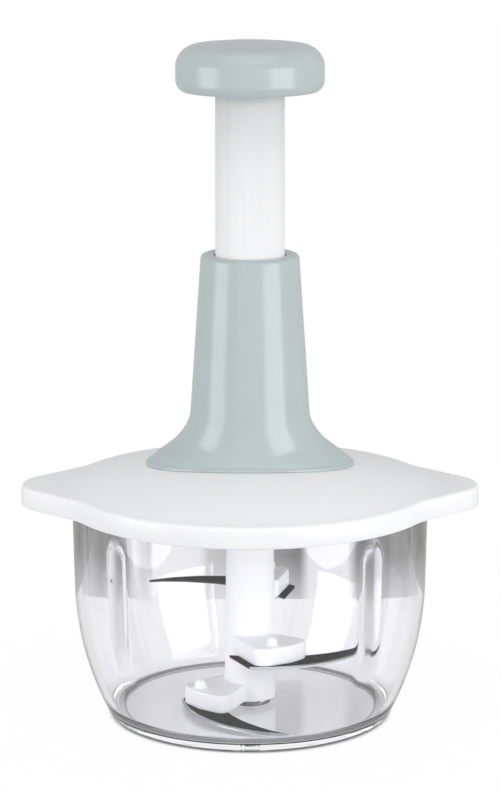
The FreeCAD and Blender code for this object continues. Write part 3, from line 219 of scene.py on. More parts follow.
frost = node(tree, "Math", {"operation": "MULTIPLY_ADD"}, _0=on_rib, _1=rib_frost, _2=rough)
relief = node(tree, "Bump", Height=peel, Distance=peel_relief_mm * MM)
shader = node(tree, "BsdfPrincipled", Base_Color=tint.outputs[2], Roughness=frost.outputs["Value"],
              Normal=relief.outputs["Normal"], Transmission_Weight=1.0, IOR=1.57)
node(tree, "OutputMaterial", Surface=shader.outputs["BSDF"])
print("finish:", clear_san.name)

# %% [markdown]
# Bare metal shows how it was worked: drawn wire and turned rod have lines along them, a
# ground edge has lines across it. The lines are a noise drawn long in one direction. They
# are 0.6 to 1.5 mm apart, several times the real spacing, so that the render shows them.

# %% A metal finish


def metal(name, dark, light, gloss, line_mm, stretch=(1, 1, 1), relief_mm=0.003, **shell):
    """A metal between two shades. Its lines run along the axis with the smallest stretch."""
    material, tree = bare(name)
    here = node(tree, "TexCoord").outputs["Object"]
    drawn = node(tree, "Mapping", Vector=here, Scale=stretch).outputs["Vector"]
    lines = node(tree, "TexNoise", Vector=drawn, Scale=1 / (line_mm * MM), Detail=4.0).outputs["Fac"]
    shade = node(tree, "ValToRGB", Fac=lines)
    shade.color_ramp.elements[0].color = linear(dark)
    shade.color_ramp.elements[1].color = linear(light)
    rough = node(tree, "MapRange", Value=lines, To_Min=gloss - 0.06, To_Max=gloss + 0.08)
    relief = node(tree, "Bump", Height=lines, Distance=relief_mm * MM)
    shader = node(tree, "BsdfPrincipled", Base_Color=shade.outputs["Color"], Metallic=1.0,
                  Roughness=rough.outputs["Result"], Normal=relief.outputs["Normal"], **shell)
    node(tree, "OutputMaterial", Surface=shader.outputs["BSDF"])
    print("finish:", name)
    return material


# %% [markdown]
# The blades are stainless strip, blackened on their flats, where they stay almost black
# even along the line of sight: the dark specular tint does that. The strip along each
# edge is ground back to bright steel. Rod, screws and clips are plain bright steel, and
# the springs are darker, from the oil they were hardened in.

# %% Steels
blade_flat = metal("blackened_blade_steel", "#25262A", "#2E2F34", 0.3, 1.5, (1, 0.15, 1),
                   Specular_Tint=linear("#2A2B2F"))
blade_edge = metal("ground_stainless_edge", "#C9CACC", "#DCDDDF", 0.3, 0.6, (1, 1, 0.2))
bright_steel = metal("bright_drawn_steel", "#A9AAAD", "#BDBEC0", 0.26, 0.8, (1, 1, 0.1))
spring_steel = metal("oiled_spring_steel", "#77787B", "#8C8D90", 0.32, 0.6)

# %% [markdown]
# Round pieces are spun: an outline in the plane of X and Z goes once round the Z axis. An
# outline is a list of stops in millimetres, each (radius, height). A stop with two more
# numbers is reached on an arc of that radius, which bends left for 1 and right for -1.

# %% Outlines


def along(stops, most=4.0, turn_step=6.0):
    """The points of an outline, with arcs split every few degrees and lines every few millimetres."""
    points = [Vector(stops[0][:2])]
    for stop in stops[1:]:
        start, end = points[-1], Vector(stop[:2])
        chord = end - start
        if len(stop) == 2:
            count = max(1, math.ceil(chord.length / most))
            points += [start + chord * (step / count) for step in range(1, count + 1)]
            continue
        radius, turn = stop[2:]
        side = Vector((-chord.y, chord.x)).normalized() * turn
        centre = (start + end) / 2 + side * math.sqrt(max(radius ** 2 - (chord.length / 2) ** 2, 0))
        sweep = 2 * math.asin(min(1, chord.length / 2 / radius))
        count = max(2, math.ceil(math.degrees(sweep) / turn_step), math.ceil(radius * sweep / most))
        arm = start - centre
        for step in range(1, count + 1):
            points.append(centre + Matrix.Rotation(turn * sweep * step / count, 2) @ arm)
    return points


# %% Spinning


def spun(stops, steps=96, closed=True, **spacing):
    """A bmesh spun from an outline. A closed outline is a ring, an open one starts and ends on the axis."""
    bm = bmesh.new()
    verts = [bm.verts.new((point.x * MM, 0, point.y * MM)) for point in along(stops, **spacing)]
    if closed:
        bmesh.ops.remove_doubles(bm, verts=verts, dist=1e-7)
        verts = list(bm.verts)
    ends = zip(verts, verts[1:] + verts[:1]) if closed else zip(verts, verts[1:])
    edges = [bm.edges.new(pair) for pair in ends]
    bmesh.ops.spin(bm, geom=verts + edges, cent=(0, 0, 0), axis=(0, 0, 1), angle=math.tau,
                   steps=steps, use_merge=True, use_duplicate=False)
    bmesh.ops.remove_doubles(bm, verts=bm.verts, dist=1e-6)
    bmesh.ops.recalc_face_normals(bm, faces=bm.faces)
    return bm


# %% [markdown]
# A finished bmesh becomes a piece: an object at the origin, shaded smooth where it turns
# gently, with its material, the body it rides on and the CAD nodes it stands for.

# %% Pieces


def piece(name, bm, material, body, slot, *stands_for, sharp=35, extra=()):
    """Turn a bmesh into a finished piece that rides on a body and stands for CAD nodes."""
    mesh = bpy.data.meshes.new(name)
    bm.to_mesh(mesh)
    bm.free()
    for coat in (material, *extra):
        mesh.materials.append(coat)
    mesh.shade_smooth()
    mesh.set_sharp_from_angle(angle=math.radians(sharp))
    item = bpy.data.objects.new(name, mesh)
    bpy.context.scene.collection.objects.link(item)
    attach(item, body)
    if stands_for:
        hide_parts(*stands_for)
    print(f"{name}: {len(mesh.polygons)} faces")
    return item


# %% [markdown]
# The bowl is one moulding: a foot ring, a flat floor with a boss for the pin, a side that
# rises in one long curve and then straight to the rim. Spinning its outline in fine steps
# gives a wall with two skins, which clear plastic needs to bend light as the real one does.

# %% Bowl outline
foot_radius, foot_width, recess = 53.5, 3.0, 1.2
rim_radius, rim_height, wall = 70.0, 88.8, 2.4
shoulder_radius, shoulder_height, side_bend = 69.2, 52.0, 115.0
floor_height = recess + wall
heel_radius, heel_height, heel_bend = 56.3, 2.0, 3.0
floor_edge, corner_radius, corner_height, corner_bend = 49.8, 56.4, floor_height + 4.4, 7.3
boss_radius, boss_top = 7.5, floor_height + 2.0
pin_hole, pin_bottom = 2.55, boss_top - 3.4
foot_inside, small, soft = foot_radius - foot_width, 0.5, 0.8
bowl_outline = [
    (0, recess),
    (foot_inside - small, recess),
    (foot_inside, recess - small, small, -1),
    (foot_inside + small, 0, 0.7, 1),
    (foot_radius, 0),
    (heel_radius, heel_height, heel_bend, 1),
    (shoulder_radius, shoulder_height, side_bend, 1),
    (rim_radius, rim_height - soft),
    (rim_radius - soft, rim_height, soft, 1),
    (rim_radius - wall + soft, rim_height),
    (rim_radius - wall, rim_height - soft, soft, 1),
    (shoulder_radius - wall, shoulder_height),
    (corner_radius, corner_height, side_bend - wall, -1),
    (floor_edge, floor_height, corner_bend, -1),
    (boss_radius + soft, floor_height),
    (boss_radius, floor_height + soft, soft, -1),
    (boss_radius, boss_top - small),
    (boss_radius - small, boss_top, small, 1),
    (pin_hole, boss_top),
    (pin_hole, pin_bottom),
    (0, pin_bottom),
]
bowl_shell = spun(bowl_outline, steps=360, closed=False, most=2.5)
print("bowl shell:", len(bowl_shell.verts), "points")

# %% [markdown]
# Four ribs inside keep the food from going round with the blades. They are made by
# pushing the inner wall in over their width, so that wall and rib stay one skin. Their
# flanks are soft slopes, as a mould that has to let go of them leaves them, and each
# rib fades out downwards and ends in a round arch at its top. They stand in 0.9 mm here
# and 2.2 mm in the frame, because steeper flanks bend the grey behind the bowl into hard
# black lines, which the real ribs don't show.

# %% Bowl ribs
first_rib = 42.4
rib_turns = [math.radians(first_rib + 90 * index) for index in range(4)]
rib_half, rib_fade = math.radians(1.2), math.radians(4.0)
rib_depth, rib_low, rib_high = 0.9, 22.0, 80.8
arch_drop, top_slope, foot_slope = 5.0, 4.0, 30.0


def ease(share):
    """0 below 0, 1 above 1, and a smooth rise between."""
    share = min(1, max(0, share))
    return share * share * (3 - 2 * share)


def mid_wall(height):
    """The radius half way through the wall, which tells inner points from outer ones."""
    if height > shoulder_height:
        return shoulder_radius - wall / 2
    centre = shoulder_radius - side_bend
    return centre + math.sqrt(side_bend ** 2 - (shoulder_height - height) ** 2) - wall / 2


def rib_push(bearing, height):
    """How far the inner wall stands in at a bearing and height, in millimetres."""
    off = min(abs(math.remainder(bearing - turn, math.tau)) for turn in rib_turns)
    across = ease((rib_half + rib_fade - off) / rib_fade)
    arch = (off / (rib_half + rib_fade)) ** 2 * arch_drop
    upward = ease((rib_high - arch - height) / top_slope) * ease((height - rib_low) / foot_slope)
    return rib_depth * across * upward


rib_mark = bowl_shell.verts.layers.float.new("rib")
moved = 0
for vert in bowl_shell.verts:
    height, radius = vert.co.z / MM, math.hypot(vert.co.x, vert.co.y) / MM
    if rib_low < height < rib_high and radius < mid_wall(height):
        push = rib_push(math.atan2(vert.co.y, vert.co.x), height)
        vert.co.x *= 1 - push / radius
        vert.co.y *= 1 - push / radius
        vert[rib_mark] = push / rib_depth
        moved += push > 0
print("points pushed in for ribs:", moved)

# %% [markdown]
# A renderer's shadow rays stop at clear plastic as if it were solid, though the real bowl
# lets nearly all light in. So the bowl is told to cast no shadow, and the lamps reach the
# white shaft inside it.

# %% Bowl
bowl = piece("bowl_clear", bowl_shell, clear_san, "bowl", "clear_bowl", "bowl", sharp=50)
bowl.visible_shadow = False

# %% [markdown]
# Seen from above the lid is a circle with an ear at each side. An ear has a round tip and
# straight flanks, and a hollow curve leads each flank into the circle. The function gives
# how far that outline lies from the axis at any bearing, also for the same outline drawn
# in by some millimetres, which the wall, the edge radius and the inside need.

# %% Lid outline
# radii 0.03 mm under the frame's, so that no facet reaches past its box
lid_radius, ear_centre, ear_radius = 72.77, 71.1, 18.87
flank_angle, blend = math.radians(46.0), 25.0
flank_off = ear_centre * math.cos(flank_angle) + ear_radius
flank_run = math.sqrt((lid_radius + blend) ** 2 - (flank_off + blend) ** 2)


def flank_point(off, run):
    """Bearing and reach of a point near the flank, a distance off the axis and along it."""
    x = off * math.cos(flank_angle) + run * math.sin(flank_angle)
    y = off * math.sin(flank_angle) - run * math.cos(flank_angle)
    return math.atan2(y, x), math.hypot(x, y)


blend_bearing, blend_reach = flank_point(flank_off + blend, flank_run)


def lid_reach(bearing, in_by=0.0):
    """How far the lid's outline, drawn in by some millimetres, lies from the axis at a bearing."""
    turn = abs(math.remainder(bearing, math.pi))
    ear = ear_radius - in_by
    ear_ends = math.atan2(ear * math.sin(flank_angle), ear_centre + ear * math.cos(flank_angle))
    if turn < ear_ends:
        return ear_centre * math.cos(turn) + math.sqrt(ear ** 2 - (ear_centre * math.sin(turn)) ** 2)
    if turn < flank_point(flank_off - in_by, flank_run)[0]:
        return (flank_off - in_by) / math.cos(turn - flank_angle)
    if turn < blend_bearing:
        hollow = (blend + in_by) ** 2 - (blend_reach * math.sin(turn - blend_bearing)) ** 2
        return blend_reach * math.cos(turn - blend_bearing) - math.sqrt(hollow)
    return lid_radius - in_by


for degrees in (0, 10, 20, 25, 60):
    print(f"lid reach at {degrees} degrees: {lid_reach(math.radians(degrees)):.1f} mm")

# %% [markdown]
# The lid and the neck aren't round, so they can't be spun. They are stacked instead: a
# circle of points is extruded again and again, and each new ring is laid out to its own
# reach and height. A reach or a height may be a number or a rule.

# %% Stacked rings


def lay_ring(verts, reach, height):
    """Put a ring of points at a reach, given for a bearing, and a height, given for a reach."""
    for vert in verts:
        bearing = math.atan2(vert.co.y, vert.co.x)
        far = reach(bearing) if callable(reach) else reach
        up = height(far) if callable(height) else height
        vert.co = (far * MM * math.cos(bearing), far * MM * math.sin(bearing), up * MM)


def stacked(rings, points):
    """A closed skin through rings, whose last ring is bridged back to the first."""
    bm = bmesh.new()
    lay_ring(bmesh.ops.create_circle(bm, cap_ends=False, segments=points, radius=1.0)["verts"], *rings[0])
    loop = list(bm.edges)
    for ring in rings[1:]:
        grown = bmesh.ops.extrude_edge_only(bm, edges=loop)["geom"]
        verts = {item for item in grown if isinstance(item, bmesh.types.BMVert)}
        edges = [item for item in grown if isinstance(item, bmesh.types.BMEdge)]
        loop = [edge for edge in edges if verts.issuperset(edge.verts)]
        lay_ring(verts, *ring)
    bmesh.ops.bridge_loops(bm, edges=[edge for edge in bm.edges if edge.is_boundary])
    bmesh.ops.recalc_face_normals(bm, faces=bm.faces)
    return bm


# %% [markdown]
# The lid's top is a shallow dome that meets the flat rim in an eased crease. Below the
# rim hangs a skirt, hollow in the ears. The outer edge is rounded over 1.6 mm, wide
# enough to catch the light, and the skirt's lower edge only a little.

# %% Lid dome
skirt_bottom, lid_under, lid_plane, dome_rise = 84.5, 90.3, 92.5, 11.8
dome_edge, lid_wall, edge_round = 70.6, 2.2, 1.6
dome_bend = (dome_edge ** 2 + dome_rise ** 2) / (2 * dome_rise)
dome_top = lid_plane + dome_rise


def dome(far, crease=1.0):
    """Height of the lid's top at a reach, its crease at the rim eased."""
    rise = math.sqrt(dome_bend ** 2 - min(far, dome_bend) ** 2) - dome_bend + dome_rise
    return lid_plane + (rise + math.sqrt(rise ** 2 + crease ** 2)) / 2


def inset(amount, circle=0.0, share=0.0):
    """A reach on the lid's inset outline, or part of the way from there to a circle."""
    return lambda bearing: lid_reach(bearing, amount) * (1 - share) + circle * share


print("dome from", lid_plane, "to", round(dome_top, 1), "mm")

# %% [markdown]
# The rings of the lid go from its hole for the rod outwards under the dome, down inside
# the skirt, round its lower edge, up outside, over the rounded edge and back in over the
# dome. Where the outline turns into circles, on the way to the middle, it does so in
# five steps.

# %% Lid
hub_hole, under_dome, flat_inside, circle_from = 12.0, 40.0, 63.0, 66.0
hub_lift, dome_lift, brow_drop = 10.0, 7.0, 3.0
skirt_round, skirt_lip, skirt_ease, past_round = 0.6, 0.5, 0.18, 1.9
rings = [(hub_hole, lid_under + hub_lift), (under_dome, lid_under + dome_lift), (flat_inside, lid_under)]
rings += [(inset(lid_wall + skirt_round, flat_inside, 0.5), lid_under)]
rings += [(inset(lid_wall + skirt_round), lid_under), (inset(lid_wall), lid_under - skirt_round)]
rings += [(inset(lid_wall), skirt_bottom + skirt_lip), (inset(lid_wall - skirt_lip), skirt_bottom)]
rings += [(inset(skirt_round), skirt_bottom), (inset(skirt_ease), skirt_bottom + skirt_ease)]
rings += [(inset(0.0), skirt_bottom + skirt_round), (inset(0.0), lid_plane - brow_drop)]
for degrees in (0, 20, 40, 60, 80):
    in_by = edge_round * (1 - math.cos(math.radians(degrees)))
    down_by = edge_round * (1 - math.sin(math.radians(degrees)))
    rings += [(inset(in_by), lambda far, drop=down_by: dome(far) - drop)]
rings += [(inset(past_round, circle_from, share), dome) for share in (0.0, 0.2, 0.4, 0.6, 0.8, 1.0)]
rings += [(radius, dome) for radius in range(62, 10, -4)]
piece("lid_top", stacked(rings, 480), white_pp, "lid", "white_plastic", "lid_shell", sharp=45)

# %% [markdown]
# The neck is a tapered tube that spreads at its foot into an oval flange, which lies on
# the dome. The flare is slow at first and quick at the end, like a trumpet's bell. Its
# rings are ellipses whose length and width grow by the same curve. Low rings follow the
# dome, and higher ones grow level.

# %% Neck flare
neck_top, neck_top_radius, neck_base_radius = 183.7, 19.2, 23.3
flange_long, flange_wide, flange_ledge, flange_lip = 40.9, 26.6, 0.9, 1.4
flare_height, flare_curve, neck_wall = 20.0, 1.8, 2.3
flare_skin, inner_lift, level_by = 2.6, 1.2, 2.2
flange_height = dome_top - dome_bend + math.sqrt(dome_bend ** 2 - flange_long ** 2)
flare_top = flange_height + flange_lip + flare_height


def oval(long, wide):
    """The reach of an ellipse at a bearing."""
    return lambda bearing: long * wide / math.hypot(wide * math.cos(bearing), long * math.sin(bearing))


def flare(share, skin=0.0):
    """The ellipse at a share of the flare's height, drawn in by a skin."""
    spread = (1 - share) ** flare_curve
    long = neck_base_radius + spread * (flange_long - flange_ledge - neck_base_radius)
    wide = neck_base_radius + spread * (flange_wide - flange_ledge - neck_base_radius)
    return oval(long - skin, wide - skin)


def resting(lift, level=0.0):
    """A height above the dome, which grows level as the share of level goes to 1."""
    def height(far):
        on_dome = dome_top - dome_bend + math.sqrt(dome_bend ** 2 - far ** 2)
        return on_dome * (1 - level) + flange_height * level + lift
    return height


print("flare from", round(flange_height + flange_lip, 1), "to", round(flare_top, 1), "mm")

# %% [markdown]
# The stack runs from inside the mouth over its rounded rim, down the cone and the flare,
# over the flange's small ledge and lip, and back up inside.

# %% Neck
mouth, mouth_depth, mouth_round, rim_round = 14.0, 3.0, 0.6, 1.6
taper_steps, flare_steps, inner_steps = 8, 19, 8
flange_edge = [(0.9, flange_lip), (0.35, flange_lip - 0.12), (0.0, flange_lip - 0.5),
               (0.0, 0.35), (0.3, 0.05), (3.5, 0.05)]
rings = [(mouth, neck_top - mouth_depth), (mouth, neck_top - mouth_round)]
for degrees in (30, 60, 90):
    turn = math.radians(degrees)
    rings += [(mouth + mouth_round * (1 - math.cos(turn)), neck_top - mouth_round * (1 - math.sin(turn)))]
for degrees in range(0, 91, 15):
    turn = math.radians(degrees)
    in_by, down_by = rim_round * (1 - math.sin(turn)), rim_round * (1 - math.cos(turn))
    rings += [(neck_top_radius - in_by, neck_top - down_by)]
cone_top = neck_top - rim_round
for step in range(1, taper_steps + 1):
    share = step / taper_steps
    wider = neck_top_radius + (neck_base_radius - neck_top_radius) * share
    rings += [(wider, cone_top - (cone_top - flare_top) * share)]
for step in range(1, flare_steps):
    share = 1 - step / flare_steps
    rings += [(flare(share), resting(flange_lip + share * flare_height, ease(share * level_by)))]
for in_by, lift in flange_edge:
    rings += [(oval(flange_long - in_by, flange_wide - in_by), resting(lift))]
for step in range(inner_steps):
    share = step / inner_steps
    lift = inner_lift + share * flare_height
    rings += [(flare(share, skin=flare_skin), resting(lift, ease(share * level_by)))]
rings += [(neck_base_radius - neck_wall, flare_top), (neck_top_radius - neck_wall, neck_top - mouth_depth)]
piece("neck_trumpet", stacked(rings, 144), grey_abs, "lid", "grey_plastic", "neck_housing", sharp=40)

# %% [markdown]
# The knob is a hollow cap with a crown so shallow that a palm rests flat on it, a round
# brow and a tucked-in lower edge. A plate closes it from below, round the tube. Both are
# round, so both are spun. The cap's roundings are arcs of its outline, which bevels could
# only come near. The plate has plain corners and gets a small bevel, because no moulded
# edge is ever quite sharp.

# %% Knob
knob_radius, knob_top, knob_bottom = 28.6, 266.0, 247.0
crown_radius, crown_drop, crown_bend, cap_wall = 19.5, 1.3, 146.9, 2.7
brow_height, brow_bend = knob_top - 8.6, 9.0
tuck_radius, tuck_height, tuck_bend = 26.2, knob_bottom + 4.6, 4.8
hollow_radius, hollow_flat, hollow_bend, hollow_lip = 25.5, 19.0, 7.0, 0.3
knob_outline = [
    (0, knob_top - cap_wall),
    (hollow_flat, knob_top - 3.0),
    (hollow_radius, knob_top - 9.9, hollow_bend, -1),
    (hollow_radius, knob_bottom + hollow_lip),
    (hollow_radius + hollow_lip, knob_bottom, hollow_lip, 1),
    (tuck_radius, knob_bottom),
    (knob_radius, tuck_height, tuck_bend, 1),
    (knob_radius, brow_height),
    (crown_radius, knob_top - crown_drop, brow_bend, 1),
    (0, knob_top, crown_bend, 1),
]
piece("knob_cap", spun(knob_outline, steps=144, closed=False, most=2.0), grey_abs,
      "plunger", "grey_plastic", "push_knob", sharp=60)

# %% Knob plate
plate_hole, plate_radius, plate_top, plate_bevel = 13.6, 25.4, knob_bottom + 2.0, 0.25
plate_outline = [(plate_hole, knob_bottom), (plate_radius, knob_bottom), (plate_radius, plate_top),
                 (plate_hole, plate_top), (plate_hole, knob_bottom)]
plate_bm = spun(plate_outline, steps=96)
corners = [edge for edge in plate_bm.edges if edge.calc_face_angle(0) > math.radians(60)]
bmesh.ops.bevel(plate_bm, geom=corners, offset=plate_bevel * MM, offset_type="OFFSET", segments=2,
                profile=0.5, affect="EDGES", clamp_overlap=True, material=-1)
piece("knob_plate", plate_bm, grey_abs, "plunger", "grey_plastic", "knob_underplate")

# %% [markdown]
# The blade shaft is one white moulding: a slim cone with three stubby arms, each with a
# round nub on top. All its edges are soft, because thick plastic shrinks as it cools.
# Bevels could round them, but they go wrong where arms, nubs and cone run into each other.
# A voxel remesh of the frame's own piece, smoothed a little, rounds every edge and inner
# corner alike. The frame's triangles come loose, so a copy has its points joined first.

# %% Copies of frame pieces


def merged(part):
    """A bmesh copy of a CAD node, its loose triangles joined."""
    bm = bmesh.new()
    bm.from_mesh(frame["nodes"][part].data)
    bmesh.ops.remove_doubles(bm, verts=bm.verts, dist=2e-6)
    bmesh.ops.dissolve_degenerate(bm, edges=bm.edges, dist=1e-6)
    return bm


def shrunk_copy(part, voxel, passes):
    """A CAD node remeshed into one even skin with its edges rounded off."""
    bm = merged(part)
    mesh = bpy.data.meshes.new(part + "_copy")
    bm.to_mesh(mesh)
    source = bpy.data.objects.new(part + "_copy", mesh)
    bpy.context.scene.collection.objects.link(source)
    skin = source.modifiers.new("even_skin", "REMESH")
    skin.mode, skin.voxel_size = "VOXEL", voxel * MM
    soften = source.modifiers.new("shrunk_edges", "SMOOTH")
    soften.factor, soften.iterations = 0.5, passes
    bm.clear()
    bm.from_mesh(source.evaluated_get(bpy.context.evaluated_depsgraph_get()).data)
    bpy.data.objects.remove(source)
    return bm


# %% Blade shaft
shaft_voxel, shaft_passes = 0.45, 5
piece("blade_shaft", shrunk_copy("blade_carrier", shaft_voxel, shaft_passes), shaft_pp, "blades",
      "white_plastic", "blade_carrier", sharp=80)

# %% [markdown]
# Each blade is a sickle of 1 mm steel: an outer edge on one arc and a back on a slacker
# one. The ground strip is a slope along the outer edge. A bevel would make the slope too,
# but run round the heel and the tip as well. So three chains of points, the cutting edge,
# the top of the grind and the back, are bridged into the top face, and the whole is drawn
# down to the blade's thickness.

# %% Chains of points


def chain(bm, points, height):
    """Points joined by edges at one height."""
    verts = [bm.verts.new((point.x * MM, point.y * MM, height * MM)) for point in points]
    return [bm.edges.new(pair) for pair in zip(verts, verts[1:])]


def evenly(points, count):
    """As many points as asked, evenly spread on a run of points."""
    lengths = [0.0]
    for start, end in zip(points, points[1:]):
        lengths.append(lengths[-1] + (end - start).length)
    spread = []
    for step in range(count):
        goal = lengths[-1] * step / (count - 1)
        index = max(i for i, length in enumerate(lengths[:-1]) if length <= goal + 1e-9)
        share = (goal - lengths[index]) / (lengths[index + 1] - lengths[index])
        spread.append(points[index].lerp(points[index + 1], share))
    return spread


# %% Blade shape
blade_thickness, grind_width, grind_depth = 1.0, 1.0, 0.25
heel, tip, root = (-27.2, -5.0), (16.0, -48.5), (-12.6, 6.0)
edge_bend, back_bend, stations, most_ground = 48.0, 54.0, 48, 0.8
edge = evenly(along([heel, (*tip, edge_bend, 1)], most=1.0), stations)
back = evenly(along([root, (*tip, back_bend, 1)], most=1.0), stations)
ridge = [outer.lerp(inner, min(most_ground, grind_width / max((inner - outer).length, 0.01)))
         for outer, inner in zip(edge, back)]


def blade_mesh(height, turn):
    """One blade at a height and turn, ground along its outer edge."""
    bm = bmesh.new()
    top = height + blade_thickness
    cut_edges = chain(bm, edge[:-1], top - grind_depth)
    ridge_edges = chain(bm, ridge[:-1], top)
    back_edges = chain(bm, back[:-1], top)
    for face in bmesh.ops.bridge_loops(bm, edges=cut_edges + ridge_edges)["faces"]:
        face.material_index = 1
    for face in bmesh.ops.bridge_loops(bm, edges=ridge_edges + back_edges)["faces"]:
        face.material_index = 0
    for item in bmesh.ops.extrude_face_region(bm, geom=bm.faces[:])["geom"]:
        if isinstance(item, bmesh.types.BMVert):
            item.co.z = height * MM
    bmesh.ops.recalc_face_normals(bm, faces=bm.faces)
    bmesh.ops.rotate(bm, verts=bm.verts, cent=(0, 0, 0), matrix=Matrix.Rotation(math.radians(turn), 3, "Z"))
    return bm


print("blade reach:", round(Vector(tip).length, 1), "mm")

# %% [markdown]
# The three blades are one shape at three heights, each turned round the shaft, as a spiral
# stair's treads are, so that food at every height meets one.

# %% Blades
BLADES = {"blade_low": (4.7, 0.0), "blade_mid": (24.6, 80.0), "blade_high": (44.5, 218.0)}
for name, (height, turn) in BLADES.items():
    piece(name.replace("blade", "sickle"), blade_mesh(height, turn), blade_flat, "blades",
          "blade_steel", name, sharp=12, extra=(blade_edge,))

# %% [markdown]
# The return spring is one wire wound round the rod. A small circle could be spun and
# lifted at once, but a curve with a round bevel keeps the wire's section square to its
# path. The knob's stroke is 60 mm. Its top ends a hair under the nut, so that the two
# never cut into one another.

# %% Return spring
coil_radius, wire_radius, coil_turns, turn_points = 8.7, 0.6, 11, 32
stroke, clear = 60.0, 0.05
spring_low, spring_high = (corner.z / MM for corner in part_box("return_spring"))
spring_high -= clear
wire = bpy.data.curves.new("return_spring_wire", "CURVE")
wire.dimensions = "3D"
wire.bevel_depth = wire_radius * MM
wire.bevel_resolution = 3
wire.use_fill_caps = True
line = wire.splines.new("POLY")
steps = coil_turns * turn_points
line.points.add(steps)
for step in range(steps + 1):
    turn = math.tau * step / turn_points
    height = spring_low + wire_radius + (spring_high - spring_low - 2 * wire_radius) * step / steps
    spot = Vector((coil_radius * math.cos(turn), coil_radius * math.sin(turn), height)) * MM
    line.points[step].co = (*spot, 1)
print("spring height:", round(spring_high - spring_low, 1), "mm")

# %% Spring mesh
wound = bpy.data.objects.new("return_spring_curve", wire)
bpy.context.scene.collection.objects.link(wound)
bpy.context.view_layer.update()
spring_bm = bmesh.new()
spring_bm.from_mesh(bpy.data.meshes.new_from_object(wound))
bpy.data.objects.remove(wound)
spring = piece("return_spring_wound", spring_bm, spring_steel, "lid", "spring_steel", "return_spring",
               sharp=60)
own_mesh(spring)

# %% [markdown]
# The other pieces are right as the frame has them. Each gets a copy whose points are
# joined, shaded smooth where it turns gently and crisp where it doesn't, in the finish of
# its material. The frame's own pieces get the same finishes.

# %% Pieces kept from the frame
FINISHES = {
    "white_plastic": white_pp, "grey_plastic": grey_abs, "acetal": acetal, "silicone": silicone,
    "blade_steel": blade_flat, "rod_metal": bright_steel, "steel": bright_steel,
    "spring_steel": spring_steel, "clear_bowl": clear_san,
}
slots = {part["node"]: part["material_slot"] for part in frame["record"]["subparts"]}
remade = {"bowl", "lid_shell", "neck_housing", "push_knob", "knob_underplate", "blade_carrier",
          "blade_low", "blade_mid", "blade_high", "return_spring"}
for part in sorted(set(frame["nodes"]) - remade):
    coat = tube_pp if part == "plunger_tube" else FINISHES[slots[part]]
    piece(part + "_fine", merged(part), coat, frame["nodes"][part]["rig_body"], slots[part], part)
for part, item in frame["nodes"].items():
    item.data.materials.clear()
    item.data.materials.append(FINISHES[slots[part]])

# %% [markdown]
# The camera stands where the photograph's did: above the knob's height, a little over a
# metre away, with a long lens. The picture is 500 by 792 pixels, and the focal length was
# found in pixels, so the sensor's 36 mm go with the long side.

# %% Camera
focal_pixels, picture_height, sensor_mm = 3007, 792, 36.0
camera_data = bpy.data.cameras.new("camera")
camera_data.sensor_width = sensor_mm
camera_data.lens = focal_pixels / picture_height * sensor_mm
camera_data.clip_end = 20.0
camera = bpy.data.objects.new("camera", camera_data)
bpy.context.scene.collection.objects.link(camera)
bpy.context.scene.camera = camera
stand = Vector((0, -1150, 370)) * MM
aim = Vector((0, 0, 127.5)) * MM
camera.matrix_world = Matrix.Translation(stand) @ (aim - stand).to_track_quat("-Z", "Y").to_matrix().to_4x4()
print("lens in mm:", round(camera_data.lens, 1))

# %% [markdown]
# Floor, card and sky make the studio, and none of them is part of the object. Two helpers
# serve them. One makes a plain object of a bmesh. The other gives the strength of a glow:
# 1 for a ray that looks, straight or through something clear, and less for a ray that
# brings light to the object.

# %% Studio pieces


def scenery(name, bm, material):
    """An object for the studio, from a bmesh and its material."""
    mesh = bpy.data.meshes.new(name)
    bm.to_mesh(mesh)
    bm.free()
    mesh.materials.append(material)
    item = bpy.data.objects.new(name, mesh)
    bpy.context.scene.collection.objects.link(item)
    return item


# %% Strength of a glow


def seen_or_lit(tree, lit):
    """1 for rays that look and a lower strength for rays that light the object."""
    path = node(tree, "LightPath")
    looks = node(tree, "Math", {"operation": "MAXIMUM"}, _0=path.outputs["Is Camera Ray"],
                 _1=path.outputs["Is Transmission Ray"]).outputs["Value"]
    return node(tree, "MapRange", Value=looks, To_Min=lit, To_Max=1.0).outputs["Result"]


# %% [markdown]
# The photograph has a white ground right up to the bowl's foot. The floor is a large disc,
# part paper and part glow. The glow has strength 1, which shows as white, and a little
# less for the light that it throws on the object, so that the lid's skirt keeps its
# shade. The paper takes the object's shadow. Under the bowl they have half each: the lower
# glow there is painted shade, which gives the clear floor its soft grey. Further out the
# glow grows until, a quarter of a metre away, nothing else is left. The bowl casts no
# shadow, so the thin dark line where its foot meets the ground is a painted contact
# shadow: a ring of dark grey in the paper under the foot, with less glow.

# %% Floor finish
fade_end, floor_lit = 250.0, 0.72
floor_material, tree = bare("white_sweep")
here = node(tree, "TexCoord").outputs["Object"]
reach = node(tree, "VectorMath", {"operation": "LENGTH"}, _0=here).outputs["Value"]
span = node(tree, "MapRange", Value=reach, From_Max=fade_end * MM).outputs["Result"]
share = node(tree, "ValToRGB", Fac=span)
share.color_ramp.elements[0].color = (0.5, 0.5, 0.5, 1)
share.color_ramp.elements[1].color = (1, 1, 1, 1)
ring = node(tree, "ValToRGB", Fac=span)
ring.color_ramp.elements[0].color = ring.color_ramp.elements[1].color = linear("#F4F4F4")
# painted shade: half glow under the bowl; painted contact shadow: dark grey paper and little glow in a ring
# under the foot
for reach_mm, glow_part, code in ((50.0, 0.5, "#F4F4F4"), (50.8, 0.3, "#3A3C3E"),
                                  (54.6, 0.2, "#3A3C3E"), (57.0, 0.96, "#F4F4F4")):
    share.color_ramp.elements.new(reach_mm / fade_end).color = (glow_part, glow_part, glow_part, 1)
    ring.color_ramp.elements.new(reach_mm / fade_end).color = linear(code)
paper_with_painted_shadow = node(tree, "BsdfDiffuse", Color=ring.outputs["Color"]).outputs["BSDF"]
